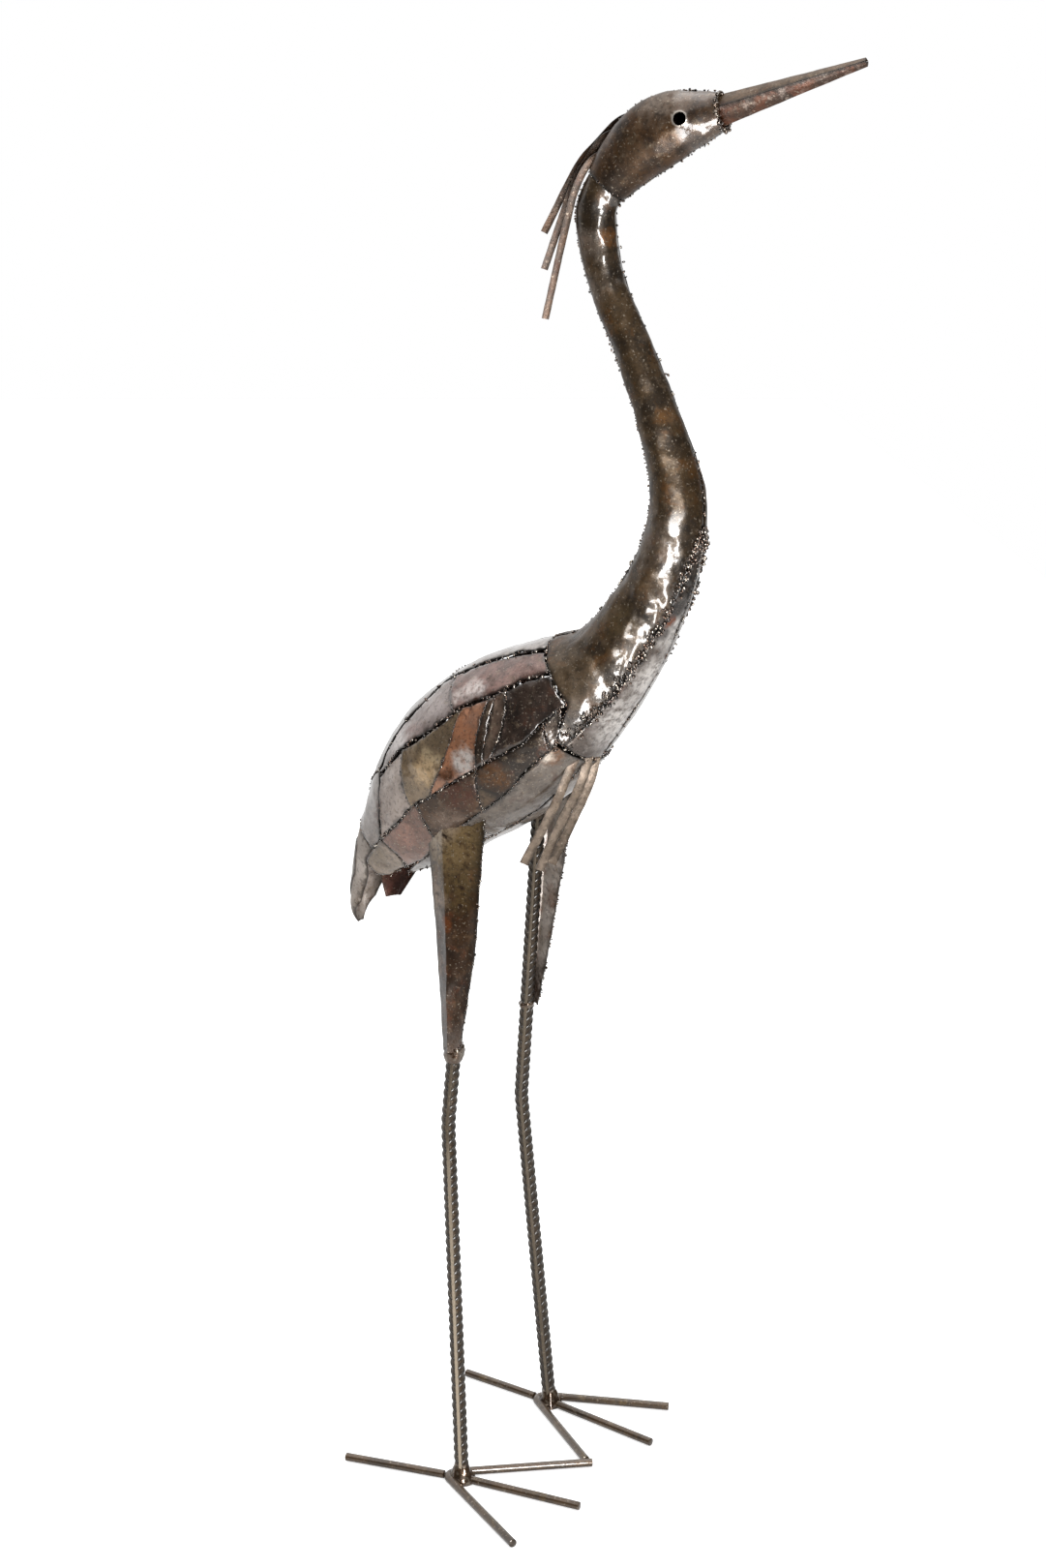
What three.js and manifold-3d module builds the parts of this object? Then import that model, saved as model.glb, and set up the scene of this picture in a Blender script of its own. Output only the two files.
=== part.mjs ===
// Heron garden statue, welded up from recycled sheet steel and round bar.
// Millimetres, +Z up, the bird looks along +X and its right side is -Y.
// Shapes are worked out from the ground point midway between the feet, and the
// whole bird is then moved so that the origin lies under the middle of its outline.

import * as THREE from 'three';
import { mergeVertices } from 'three/addons/utils/BufferGeometryUtils.js';
import Module from 'manifold-3d';

const wasm = await Module();
wasm.setup();

// Stock and fit
const SHEET = 1.6;
const JOINT_GAP = 0.4;
const SEAM_GAP = 1.6;
const COPING_GAP = 0.9;
const OUTLINE_MIDDLE = { x: 86.1, y: -20.8 };

// Bars: the legs are ribbed bar, the toes plain round bar
const LEG_BAR = { sides: 6, valley: 6.3, crest: 7.1, longRib: 7.2, ribPitch: 8.7, ribTurn: -70 };
const TOE_RADIUS = 4;
const TOE_SIDES = 8;
const TOE_BEND_RADIUS = 9;
const TOE_BEND_STEPS = 5;
const BAR_CLEARANCE = LEG_BAR.longRib + TOE_RADIUS + 2 * JOINT_GAP;
const INNER_TOE_STOP = 5.4;

// Neck and body: centre line and half sizes at each station, from the head to the tail tip
const BODY_STATIONS = [
  { x: 106, z: 1241, depth: 18, width: 16.3 },
  { x: 93.5, z: 1213, depth: 18.7, width: 16.5 },
  { x: 104, z: 1157, depth: 16.5, width: 16 },
  { x: 131, z: 1098, depth: 17, width: 17 },
  { x: 157, z: 1039, depth: 19.5, width: 19.5 },
  { x: 177, z: 973, depth: 24.5, width: 24.5 },
  { x: 172.5, z: 918, depth: 29, width: 29 },
  { x: 148.8, z: 862.7, depth: 34.7, width: 36 },
  { x: 112.5, z: 810.5, depth: 43, width: 50 },
  { x: 60.2, z: 768.8, depth: 65.7, width: 66 },
  { x: 6, z: 731, depth: 79, width: 77 },
  { x: -47.6, z: 692.5, depth: 75.9, width: 77 },
  { x: -92.5, z: 647, depth: 60.5, width: 60 },
  { x: -128, z: 608, depth: 38, width: 38 },
  { x: -152, z: 573, depth: 20.5, width: 20 },
  { x: -165.5, z: 541, depth: 11, width: 14 },
  { x: -164.5, z: 521.5, depth: 4.8, width: 6.5 },
];

// Head: the same, from the neck to the base of the bill
const HEAD_STATIONS = [
  { x: 105, z: 1239, depth: 21, width: 19 },
  { x: 121.5, z: 1257, depth: 26.5, width: 22.5 },
  { x: 143, z: 1275, depth: 31, width: 25.5 },
  { x: 168, z: 1287.5, depth: 29.5, width: 25 },
  { x: 193, z: 1294, depth: 23, width: 19.5 },
  { x: 208, z: 1297.5, depth: 18.5, width: 14.5 },
  { x: 216, z: 1299, depth: 15.8, width: 12.2 },
];
const EYE = { station: 3.66, angle: 92, radius: 5.8, sides: 12 };

// Bill: a folded sheet above and one below, meeting at a ridge on each side
const BILL = {
  base: { x: 213, z: 1299.5, depth: 13.4, width: 10 },
  tip: { x: 346, z: 1337, depth: 3.8, width: 3.8 },
  ridgeLift: 0.18,
  cheek: { out: 0.55, drop: 0.44 },
  steps: 4,
};

// Seams of the neck and breast, in stations along the body and degrees round from the
// back line. The neck's own two seams are turned towards the right behind and the left
// in front. Its end slants back over part of its width, where the gusset stands
const NECK_END = 8.46;
const NECK_SLANT = { from: 0.77, width: 0.17, power: 1.2 };
const BREAST_TOP = 5.46;
const BREAST_END = 8.9;
const BREAST_SEAM = [
  [BREAST_TOP, 176], [6.2, 148], [7.3, 137], [NECK_END, 133], [BREAST_END, 130],
];
const BACK_SEAM = [[0, 12], [3, 24], [6.5, 26], [NECK_END, 6]];
const THROAT_SEAM = [[0, 190], [2, 204], [4, 202], [BREAST_TOP, 180]];

// Seam lines along the body, as [station, degrees] points
const SEAM_LINES = {
  back: [[NECK_END, 0], [13, 0]],
  ridge: [[NECK_END, 37], [8.9, 29], [9.5, 24.5], [10.25, 24], [10.7, 33], [11.25, 41], [11.65, 48]],
  wing: [
    [NECK_END, 67], [8.9, 63], [9.5, 62.5], [9.9, 60], [10.2, 62], [10.6, 63], [11.1, 58], [11.6, 55],
  ],
  flank: [
    [8.8, 103], [9.3, 107], [9.8, 103], [11, 101], [11.4, 97], [12, 95.5], [12.5, 92], [13.35, 86],
  ],
  belly: [
    [BREAST_END, 124.5], [9.5, 124.5], [9.9, 129], [11.3, 133], [11.8, 136], [12.4, 141], [13.45, 139],
  ],
  keel: [[BREAST_END, 161], [13.1, 163]],
  rump: [[11.65, 48], [12.9, 0]],
};

// Plates of one side: the stations of the front and rear edge at their upper end, middle
// and lower end, and the seam lines that they run between
const RIDGE_FRONT = [8.47, 8.47, 8.47];
const SHOULDER_FRONT = [8.47, 8.48, 8.61];
const STRIP_EDGES = [[9.14, 9.33, 9.82], [9.27, 9.59, 9.95], [9.4, 9.75, 10.06]];
const WING_EDGES = [[9.82, 10.33, 10.99], [10.98, 11.25, 11.42], [11.62, 12.02, 12.5]];
const GUSSET_EDGES = [[8.57, 8.68, 8.93], [8.86, 8.98, 9.06]];
const FLANK_EDGES = [[10.07, 10.28, 10.45], [11.3, 11.5, 11.75], [12.52, 12.54, 12.75]];
const MID_BODY = [9.96, 10.02, 9.98];
const VENT_FRONT = [10.9, 10.9, 10.9];
const SIDE_PLATES = {
  back_ridge_front: { from: RIDGE_FRONT, to: [10.1, 10.1, 10.1], upper: 'back', lower: 'ridge' },
  back_ridge_rear: { from: [10.1, 10.1, 10.1], to: [12.88, 12.23, 11.63], upper: 'back', lower: 'ridge' },
  wing_upper_front: { from: RIDGE_FRONT, to: MID_BODY, upper: 'ridge', lower: 'wing' },
  wing_upper_rear: { from: MID_BODY, to: [11.64, 11.63, 11.6], upper: 'ridge', lower: 'wing' },
  shoulder_plate: { from: SHOULDER_FRONT, to: STRIP_EDGES[0], upper: 'wing', lower: 'flank' },
  covert_strip_front: { from: STRIP_EDGES[0], to: STRIP_EDGES[1], upper: 'wing', lower: 'flank' },
  covert_strip_rear: { from: STRIP_EDGES[1], to: STRIP_EDGES[2], upper: 'wing', lower: 'flank' },
  wing_middle: { from: STRIP_EDGES[2], to: WING_EDGES[0], upper: 'wing', lower: 'flank' },
  wing_rear: { from: WING_EDGES[0], to: WING_EDGES[1], upper: 'wing', lower: 'flank' },
  wing_tip: { from: WING_EDGES[1], to: WING_EDGES[2], upper: 'wing', lower: 'flank' },
  rump_edge: { from: [11.67, 11.9, 12.53], to: [12.9, 12.91, 12.92], upper: 'rump', lower: 'flank' },
  shoulder_gusset: { from: GUSSET_EDGES[0], to: GUSSET_EDGES[1], upper: 'flank', lower: 'belly' },
  flank_front: { from: GUSSET_EDGES[1], to: FLANK_EDGES[0], upper: 'flank', lower: 'belly' },
  flank_middle: { from: FLANK_EDGES[0], to: FLANK_EDGES[1], upper: 'flank', lower: 'belly' },
  flank_rear: { from: FLANK_EDGES[1], to: FLANK_EDGES[2], upper: 'flank', lower: 'belly' },
  rump_plate: { from: FLANK_EDGES[2], to: [13.35, 13.5, 13.35], upper: 'flank', lower: 'belly' },
  belly_side: { from: [8.95, 8.95, 8.95], to: VENT_FRONT, upper: 'belly', lower: 'keel' },
  vent_plate: { from: VENT_FRONT, to: [12.44, 12.9, 13.1], upper: 'belly', lower: 'keel' },
};

// The left side has fewer and larger plates: those that change there
const LEFT_PLATES = {
  ...SIDE_PLATES,
  shoulder_plate: { ...SIDE_PLATES.shoulder_plate, to: STRIP_EDGES[2] },
  covert_strip_front: null,
  covert_strip_rear: null,
  wing_middle: null,
  wing_rear: { ...SIDE_PLATES.wing_rear, from: STRIP_EDGES[2] },
  shoulder_gusset: null,
  flank_front: { ...SIDE_PLATES.flank_front, from: GUSSET_EDGES[0] },
};
const KEEL = { from: 8.95, to: 13.1 };

// Legs: a ribbed bar from the floor through the ankle bend up to the hip
const RIGHT_LEG = {
  foot: [6, -97, 0], ankle: [-25, -68, 358], hip: [-8.4, -39.8, 700],
  outerToe: [111, -178], middleToe: [132, -87], backToe: [-116, -119],
};
const LEFT_LEG = {
  foot: [3, 84, 0], ankle: [-20, 64, 346], hip: [20.5, 38.4, 740],
  outerToe: [115, 136], middleToe: [134, 59], backToe: [-106, 96],
};
const INNER_TOE_JOINT = [99, -9];

// Thighs: a sheet folded once lengthwise and wrapped round the outer side of the bar.
// Rear edge, fold and front edge are measured from the bar's axis, outward positive
const RIGHT_THIGH = [
  { z: 432, rear: [-8.5, 4.5], fold: [-0.5, 10.4], front: [9, 3.6] },
  { z: 530, rear: [-26, 1.5], fold: [-9, 13], front: [16, 2] },
  { z: 640, rear: [-45, 4], fold: [-23, 13], front: [17.5, 7] },
  { z: 690, rear: [-52, 3], fold: [-27, 14], front: [19.5, 8] },
];
const LEFT_THIGH = [
  { z: 445, rear: [-6, 4.5], fold: [0, 10.4], front: [10, 4] },
  { z: 523, rear: [-5.5, 6], fold: [2, 12], front: [20.5, 3] },
  { z: 590, rear: [-5, 7], fold: [3, 13], front: [28, 3] },
  { z: 650, rear: [-5, 8], fold: [4, 14], front: [33.5, 3] },
  { z: 735, rear: [-7, 6], fold: [2, 9], front: [30, 0] },
];

// Loose strips of sheet: crest plumes behind the head and plumes under the breast
const STRIP_WIDTH = 6.5;
const PLUME_WIDTH = 8.5;
const STRIP_STEPS = 8;
const STRIP_TURN = 60;
const CREST = [
  { root: [128, 1, 1297], bends: [[112, 3, 1291], [92, 5, 1274], [70, 8, 1253]], tip: [34, 12, 1196] },
  { root: [116, -1, 1285], bends: [[100, -1, 1277], [87, 0, 1262], [70, 0, 1236]], tip: [41, 0, 1164] },
  { root: [105, -7, 1266], bends: [[90, -8, 1256], [78, -9, 1235], [69, -10, 1204]], tip: [50, -14, 1121] },
];
const BREAST_PLUMES = [
  { root: [98, -30, 738], bends: [[85, -35, 706], [74, -36, 680]], tip: [39.5, -34, 618] },
  { root: [103, -18, 738], bends: [[93, -21, 700], [73, -20, 662]], tip: [47, -18, 609] },
  { root: [102.5, -4, 738], bends: [[95, -6, 700], [72.5, -5, 652]], tip: [51.5, -2, 612] },
];

// Tail: one long pointed blade along the back line, a short one on it and a scoop below
const TAIL_BLADE = {
  from: 12.92, to: 15.95, lift: 0, halfAngle: [[0, 88.5], [0.14, 85], [0.3, 104], [0.6, 118], [1, 48]],
};
const TAIL_COVERT = {
  from: 13.35, to: 14.85, lift: SHEET + 2 * JOINT_GAP, halfAngle: [[0, 46], [0.5, 58], [1, 14]],
};
const SCOOP = { root: [-112, -8, 604], tip: [-121, -13, 558], rootHalf: 33, tipHalf: 8.5, sag: 9 };

// Ellipse section swept along the stations of a bent centre line
class Loft {
  constructor(stations) {
    const centres = stations.map((s) => new THREE.Vector3(s.x, 0, s.z));
    const sizes = stations.map((s) => new THREE.Vector3(s.depth, s.width, 0));
    this.last = stations.length - 1;
    this.centres = new THREE.CatmullRomCurve3(centres, false, 'catmullrom', 0.5);
    this.sizes = new THREE.CatmullRomCurve3(sizes, false, 'catmullrom', 0.5);
  }

  // Point of the skin at a station and an angle from the back line, left side positive
  point(station, degrees, inset = 0) {
    const u = THREE.MathUtils.clamp(station / this.last, 0, 1);
    const centre = this.centres.getPoint(u);
    const along = this.centres.getTangent(u);
    const size = this.sizes.getPoint(u);
    const angle = THREE.MathUtils.degToRad(degrees);
    const back = (size.x - inset) * Math.cos(angle);
    const side = (size.y - inset) * Math.sin(angle);
    return new THREE.Vector3(centre.x + along.z * back, side, centre.z - along.x * back);
  }

  // Closed solid of the whole form, for coping other pieces against it
  solid(inset, sides, ringsPerStation) {
    const rings = [];
    for (let i = 0; i <= this.last * ringsPerStation; i += 1) {
      const ring = [];
      for (let k = 0; k < sides; k += 1) {
        ring.push(this.point(i / ringsPerStation, (k * 360) / sides, inset));
      }
      rings.push(ring);
    }
    return ringSolid(rings);
  }
}

// Geometry from points and triangles, turned so that its faces point out
function closedGeometry(points, triangles) {
  let volume = 0;
  for (const [a, b, c] of triangles) {
    volume += points[a].dot(new THREE.Vector3().crossVectors(points[b], points[c]));
  }
  const faces = volume < 0 ? triangles.map(([a, b, c]) => [a, c, b]) : triangles;
  const geometry = new THREE.BufferGeometry();
  const numbers = points.flatMap((p) => p.toArray());
  geometry.setAttribute('position', new THREE.Float32BufferAttribute(numbers, 3));
  geometry.setIndex(faces.flat());
  return geometry;
}

// Solid through a row of rings that all have the same number of corners
function ringSolid(rings) {
  const sides = rings[0].length;
  const triangles = [];
  for (let i = 0; i + 1 < rings.length; i += 1) {
    for (let k = 0; k < sides; k += 1) {
      const a = i * sides + k;
      const b = i * sides + ((k + 1) % sides);
      triangles.push([a, b, b + sides], [a, b + sides, a + sides]);
    }
  }
  const top = (rings.length - 1) * sides;
  for (let k = 1; k + 1 < sides; k += 1) {
    triangles.push([0, k + 1, k], [top, top + k, top + k + 1]);
  }
  return closedGeometry(rings.flat(), triangles);
}

// Sheet between an outer and an inner face, both given over 0 to 1 along and across
function sheetSolid(outer, inner, along, across) {
  const row = across + 1;
  const half = (along + 1) * row;
  const points = [];
  for (const face of [outer, inner]) {
    for (let i = 0; i <= along; i += 1) {
      for (let j = 0; j <= across; j += 1) {
        points.push(face(i / along, j / across));
      }
    }
  }
  const triangles = [];
  const quad = (a, b, c, d) => triangles.push([a, b, c], [a, c, d]);
  for (let i = 0; i < along; i += 1) {
    for (let j = 0; j < across; j += 1) {
      const a = i * row + j;
      quad(a, a + 1, a + row + 1, a + row);
      quad(a + half, a + half + row, a + half + row + 1, a + half + 1);
    }
  }
  for (let j = 0; j < across; j += 1) {
    const a = along * row + j;
    quad(j + 1, j, j + half, j + 1 + half);
    quad(a, a + 1, a + 1 + half, a + half);
  }
  for (let i = 0; i < along; i += 1) {
    const a = i * row;
    const b = a + across;
    quad(a, a + row, a + row + half, a + half);
    quad(b + row, b, b + half, b + row + half);
  }
  return closedGeometry(points, triangles);
}

function toManifold(geometry) {
  const bare = geometry.clone();
  bare.deleteAttribute('normal');
  bare.deleteAttribute('uv');
  const merged = mergeVertices(bare, 1e-4);
  return new wasm.Manifold(new wasm.Mesh({
    numProp: 3,
    vertProperties: new Float32Array(merged.attributes.position.array),
    triVerts: new Uint32Array(merged.index.array),
  }));
}

function fromManifold(solid) {
  const mesh = solid.getMesh();
  const geometry = new THREE.BufferGeometry();
  geometry.setAttribute('position', new THREE.BufferAttribute(mesh.vertProperties, 3));
  geometry.setIndex(new THREE.BufferAttribute(mesh.triVerts, 1));
  return geometry;
}

function cut(geometry, cutter) {
  return fromManifold(toManifold(geometry).subtract(cutter));
}

const lerp = THREE.MathUtils.lerp;

// Value of a broken line through [position, value] pairs
function alongLine(pairs, position) {
  for (let i = 1; i < pairs.length; i += 1) {
    const [p0, v0] = pairs[i - 1];
    const [p1, v1] = pairs[i];
    if (position <= p1 || i === pairs.length - 1) {
      return lerp(v0, v1, THREE.MathUtils.clamp((position - p0) / (p1 - p0), 0, 1));
    }
  }
  return pairs[0][1];
}

// Plate of a loft whose outline is given as [station, degrees] over 0 to 1 along and
// across, drawn in by half an open joint all round
function plate(loft, outline, along, across, lift = 0) {
  const at = (s, r, inset = 0) => loft.point(...outline(s, r), inset);
  const trim = (start, middle, end) => {
    const length = start.distanceTo(middle) + middle.distanceTo(end);
    return Math.min(SEAM_GAP / 2 / length, 0.4);
  };
  const face = (inset) => (s, r) => {
    const trimS = trim(at(0, r), at(0.5, r), at(1, r));
    const u = lerp(trimS, 1 - trimS, s);
    const trimR = trim(at(u, 0), at(u, 0.5), at(u, 1));
    return at(u, lerp(trimR, 1 - trimR, r), inset);
  };
  return sheetSolid(face(-lift), face(SHEET - lift), along, across);
}

const body = new Loft(BODY_STATIONS);
const head = new Loft(HEAD_STATIONS);
const bodyCutter = toManifold(body.solid(-COPING_GAP, 64, 4));
const headCutter = toManifold(head.solid(-COPING_GAP, 32, 4));

const bird = new THREE.Group();
bird.position.set(-OUTLINE_MIDDLE.x, -OUTLINE_MIDDLE.y, 0);

// Group of pieces whose origin lies at a point of the bird
function assembly(x, y, z) {
  const group = new THREE.Group();
  group.position.set(x, y, z);
  bird.add(group);
  return group;
}

// Piece with its shape in the bird's frame, hung in its assembly
function add(group, name, geometry, color, roughness = 0.28) {
  const material = new THREE.MeshStandardMaterial({ color, roughness, metalness: 0.85 });
  const { x, y, z } = group.position;
  const mesh = new THREE.Mesh(geometry.translate(-x, -y, -z), material);
  mesh.name = name;
  group.add(mesh);
}

// Head: two hammered halves joined over the crown and under the chin, each with an eye hole
function headHalf(sign) {
  const shell = plate(head, (s, r) => [s * head.last, sign * lerp(0, 180, r)], 9, 6);
  const drill = new THREE.CylinderGeometry(EYE.radius, EYE.radius, 4 * EYE.radius, EYE.sides);
  const eye = head.point(EYE.station, sign * EYE.angle);
  drill.translate(eye.x, eye.y, eye.z);
  return cut(shell, toManifold(drill));
}

// One folded sheet of the bill, up for the upper one and down for the lower one
function billHalf(up) {
  const { base, tip, ridgeLift, cheek } = BILL;
  const axis = new THREE.Vector3(tip.x - base.x, 0, tip.z - base.z).normalize();
  const rise = new THREE.Vector3(-axis.z, 0, axis.x);
  const face = (sheet) => (s, r) => {
    const depth = lerp(base.depth, tip.depth, s);
    const width = lerp(base.width, tip.width, s);
    const wall = Math.min(sheet, width * 0.45);
    const side = 2 * r - 1;
    const ridge = depth * ridgeLift + (up * JOINT_GAP) / 2;
    const crown = lerp(ridge, up * depth, 1 - (1.5 * wall) / depth);
    const fold = Math.abs(side) > 0.75 ? 1 : Math.abs(side) * 2 * cheek.out;
    const height = lerp(crown, ridge, fold === 1 ? 1 : Math.abs(side) * 2 * cheek.drop);
    const point = new THREE.Vector3(lerp(base.x, tip.x, s), 0, lerp(base.z, tip.z, s));
    point.addScaledVector(rise, height);
    point.y = Math.sign(side) * fold * (width - wall);
    return point;
  };
  return sheetSolid(face(0), face(SHEET), BILL.steps, 4);
}

// Flat strip along a bent line, its broad face turned half towards the side
function strip({ root, bends, tip }, width, cutter) {
  const points = [root, ...bends, tip].map((p) => new THREE.Vector3(...p));
  const line = new THREE.CatmullRomCurve3(points);
  const turn = THREE.MathUtils.degToRad(STRIP_TURN);
  const rings = [];
  for (let i = 0; i <= STRIP_STEPS; i += 1) {
    const centre = line.getPoint(i / STRIP_STEPS);
    const along = line.getTangent(i / STRIP_STEPS);
    const flat = new THREE.Vector3().crossVectors(along, new THREE.Vector3(0, 1, 0)).normalize();
    const across = new THREE.Vector3(0, Math.cos(turn), 0).addScaledVector(flat, Math.sin(turn));
    const face = new THREE.Vector3().crossVectors(across, along).normalize();
    const corner = (a, b) => {
      const onEdge = centre.clone().addScaledVector(across, (a * width) / 2);
      return onEdge.addScaledVector(face, (b * SHEET) / 2);
    };
    rings.push([corner(-1, -1), corner(1, -1), corner(1, 1), corner(-1, 1)]);
  }
  return cut(ringSolid(rings), cutter);
}

// Round bar with a flat underside, lying on the floor along a path of points
function floorBar(path) {
  const centres = path.map((p) => new THREE.Vector3(p.x, p.y, TOE_RADIUS));
  const reach = TOE_RADIUS / Math.cos(Math.PI / TOE_SIDES);
  const rings = centres.map((centre, i) => {
    const before = centres[Math.max(i - 1, 0)];
    const after = centres[Math.min(i + 1, centres.length - 1)];
    const along = new THREE.Vector3().subVectors(after, before).normalize();
    const side = new THREE.Vector3(along.y, -along.x, 0);
    const ring = [];
    for (let k = 0; k < TOE_SIDES; k += 1) {
      const angle = ((k + 0.5) * 2 * Math.PI) / TOE_SIDES;
      const point = centre.clone().addScaledVector(side, reach * Math.cos(angle));
      point.z += reach * Math.sin(angle);
      ring.push(point);
    }
    return ring;
  });
  return ringSolid(rings);
}

const floorPoint = ([x, y]) => new THREE.Vector2(x, y);

// Direction from a toe tip back to the foot, passing the leg bar on the given side
function tangentBack(tip, foot, side) {
  const toFoot = new THREE.Vector2().subVectors(foot, tip);
  const swing = Math.asin(BAR_CLEARANCE / toFoot.length());
  return toFoot.clone().normalize().rotateAround(new THREE.Vector2(), side * swing);
}

// Foot: one bar bent round the back of the leg makes the outer and inner toe, and the
// middle and back toe are straight bars
function foot({ foot: at, outerToe, middleToe, backToe }, sign) {
  const leg = floorPoint(at);
  const outer = floorPoint(outerToe);
  const inner = floorPoint(INNER_TOE_JOINT);
  const outerWay = tangentBack(outer, leg, -sign);
  const innerWay = tangentBack(inner, leg, sign);
  const gap = new THREE.Vector2().subVectors(inner, outer);
  const reach = gap.cross(innerWay) / outerWay.cross(innerWay);
  const apex = outer.clone().addScaledVector(outerWay, reach);
  const opening = Math.acos(outerWay.dot(innerWay)) / 2;
  const bisector = outerWay.clone().add(innerWay).normalize().negate();
  const centre = apex.clone().addScaledVector(bisector, TOE_BEND_RADIUS / Math.sin(opening));
  const sweep = Math.PI - 2 * opening;
  const bend = [];
  for (let i = 0; i <= TOE_BEND_STEPS; i += 1) {
    const turn = sign * sweep * (i / TOE_BEND_STEPS - 0.5);
    const spoke = bisector.clone().negate().rotateAround(new THREE.Vector2(), turn);
    bend.push(centre.clone().addScaledVector(spoke, TOE_BEND_RADIUS));
  }
  const innerEnd = inner.clone().addScaledVector(innerWay, sign > 0 ? INNER_TOE_STOP : -TOE_RADIUS);
  const back = floorPoint(backToe);
  const backWay = new THREE.Vector2().subVectors(back, apex).normalize();
  const bendOuter = centre.clone().addScaledVector(backWay, TOE_BEND_RADIUS + TOE_RADIUS + JOINT_GAP);
  const middle = floorPoint(middleToe);
  const middleWay = new THREE.Vector2().subVectors(middle, leg).normalize();
  const middleRoot = leg.clone().addScaledVector(middleWay, LEG_BAR.longRib + JOINT_GAP);
  return {
    toe_pair: floorBar([outer, ...bend, innerEnd]),
    middle_toe: floorBar([middleRoot, middle]),
    back_toe: floorBar([bendOuter, back]),
  };
}

// Point of a leg bar's axis at a height
function barAxis({ foot: low, ankle, hip }, z) {
  const [a, b] = z < ankle[2] ? [low, ankle] : [ankle, hip];
  const u = (z - a[2]) / (b[2] - a[2]);
  return new THREE.Vector3(lerp(a[0], b[0], u), lerp(a[1], b[1], u), z);
}

// Ribbed bar: rings swell and shrink at the rib pitch, two corners carry the long ribs
function legBar(leg) {
  const rings = [];
  const top = leg.hip[2];
  const half = LEG_BAR.ribPitch / 2;
  const count = Math.floor(top / half);
  for (let i = 0; i <= count; i += 1) {
    const centre = barAxis(leg, i * half);
    const round = i % 2 ? LEG_BAR.crest : LEG_BAR.valley;
    const ring = [];
    for (let k = 0; k < LEG_BAR.sides; k += 1) {
      const angle = THREE.MathUtils.degToRad(LEG_BAR.ribTurn + (k * 360) / LEG_BAR.sides);
      const radius = k % (LEG_BAR.sides / 2) === 0 ? LEG_BAR.longRib : round;
      const spoke = new THREE.Vector3(Math.cos(angle), Math.sin(angle), 0);
      ring.push(centre.clone().addScaledVector(spoke, radius));
    }
    rings.push(ring);
  }
  return cut(ringSolid(rings), bodyCutter);
}

// Thigh sheet, coped to the belly at its top
function thigh(sections, leg, sign) {
  const face = (thickness) => (s, r) => {
    const { z, rear, fold, front } = sections[Math.round(s * (sections.length - 1))];
    const [x, out] = [rear, fold, front][Math.round(2 * r)];
    const axis = barAxis(leg, z);
    return new THREE.Vector3(axis.x + x, axis.y + sign * (out + thickness), z);
  };
  return cut(sheetSolid(face(1.25 * SHEET), face(0), sections.length - 1, 2), bodyCutter);
}

// Blade of the tail, its half angle given along its length
function tailBlade({ from, to, halfAngle, lift }, along, across) {
  const outline = (s, r) => [lerp(from, to, s), alongLine(halfAngle, s) * lerp(-1, 1, r)];
  return plate(body, outline, along, across, lift);
}

// Scoop under the tail, hollow towards the right
function scoop() {
  const root = new THREE.Vector3(...SCOOP.root);
  const tip = new THREE.Vector3(...SCOOP.tip);
  const face = (out) => (s, r) => {
    const half = lerp(SCOOP.rootHalf, SCOOP.tipHalf, s);
    const side = 2 * r - 1;
    const point = new THREE.Vector3().lerpVectors(root, tip, s);
    point.x += side * half;
    point.z += side * half * 0.25;
    point.y += SCOOP.sag * (1 - side * side) * (1 - 0.6 * s) + out;
    return point;
  };
  return cut(sheetSolid(face(SHEET), face(0), 4, 6), bodyCutter);
}

const STEEL = {
  brown: 0x5b4a3c,
  dark: 0x35291f,
  olive: 0x5a4f34,
  copper: 0x7d5140,
  grey: 0x756b64,
  bar: 0x6a5f50,
};
const PLATE_COLORS = [STEEL.grey, STEEL.brown, STEEL.copper, STEEL.dark, STEEL.olive];

// Neck shell: all of one side down to the breast seam, its end slanted at the shoulder
function neckHalf(sign) {
  const outline = (s, r) => {
    const slant = THREE.MathUtils.clamp((r - NECK_SLANT.from) / NECK_SLANT.width, 0, 1);
    const station = s * lerp(NECK_END, BREAST_END, slant ** NECK_SLANT.power);
    const throat = sign * 180 + 180 - alongLine(THROAT_SEAM, station);
    const edge = station < BREAST_TOP ? throat : sign * alongLine(BREAST_SEAM, station);
    return [station, lerp(-alongLine(BACK_SEAM, station), edge, r)];
  };
  return plate(body, outline, 22, 6);
}

// Breast plate of one side, from its point on the front of the neck down to the plumes
function breastPlate(sign) {
  const outline = (s, r) => {
    const station = lerp(BREAST_TOP + 0.05, BREAST_END, s);
    return [station, sign * lerp(alongLine(BREAST_SEAM, station), 180, r)];
  };
  return plate(body, outline, 9, 3);
}

// Curve through three values, at 0, a half and 1
function through([start, middle, end], u) {
  return start * (1 - u) * (1 - 2 * u) + middle * 4 * u * (1 - u) + end * u * (2 * u - 1);
}

function sidePlate({ from, to, upper, lower }, sign) {
  const outline = (s, r) => {
    const station = lerp(through(from, r), through(to, r), s);
    const top = alongLine(SEAM_LINES[upper], station);
    return [station, sign * lerp(top, alongLine(SEAM_LINES[lower], station), r)];
  };
  const along = Math.max(2, Math.round((to[1] - from[1]) * 3));
  return plate(body, outline, along, 3);
}

function keelPlate() {
  const outline = (s, r) => {
    const station = lerp(KEEL.from, KEEL.to, s);
    const edge = alongLine(SEAM_LINES.keel, station);
    return [station, lerp(edge, 360 - edge, r)];
  };
  return plate(body, outline, 10, 2);
}

const headGroup = assembly(HEAD_STATIONS[3].x, 0, HEAD_STATIONS[3].z);
const neckGroup = assembly(BODY_STATIONS[7].x, 0, BODY_STATIONS[7].z);
const bodyGroup = assembly(BODY_STATIONS[10].x, 0, BODY_STATIONS[10].z);

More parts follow.
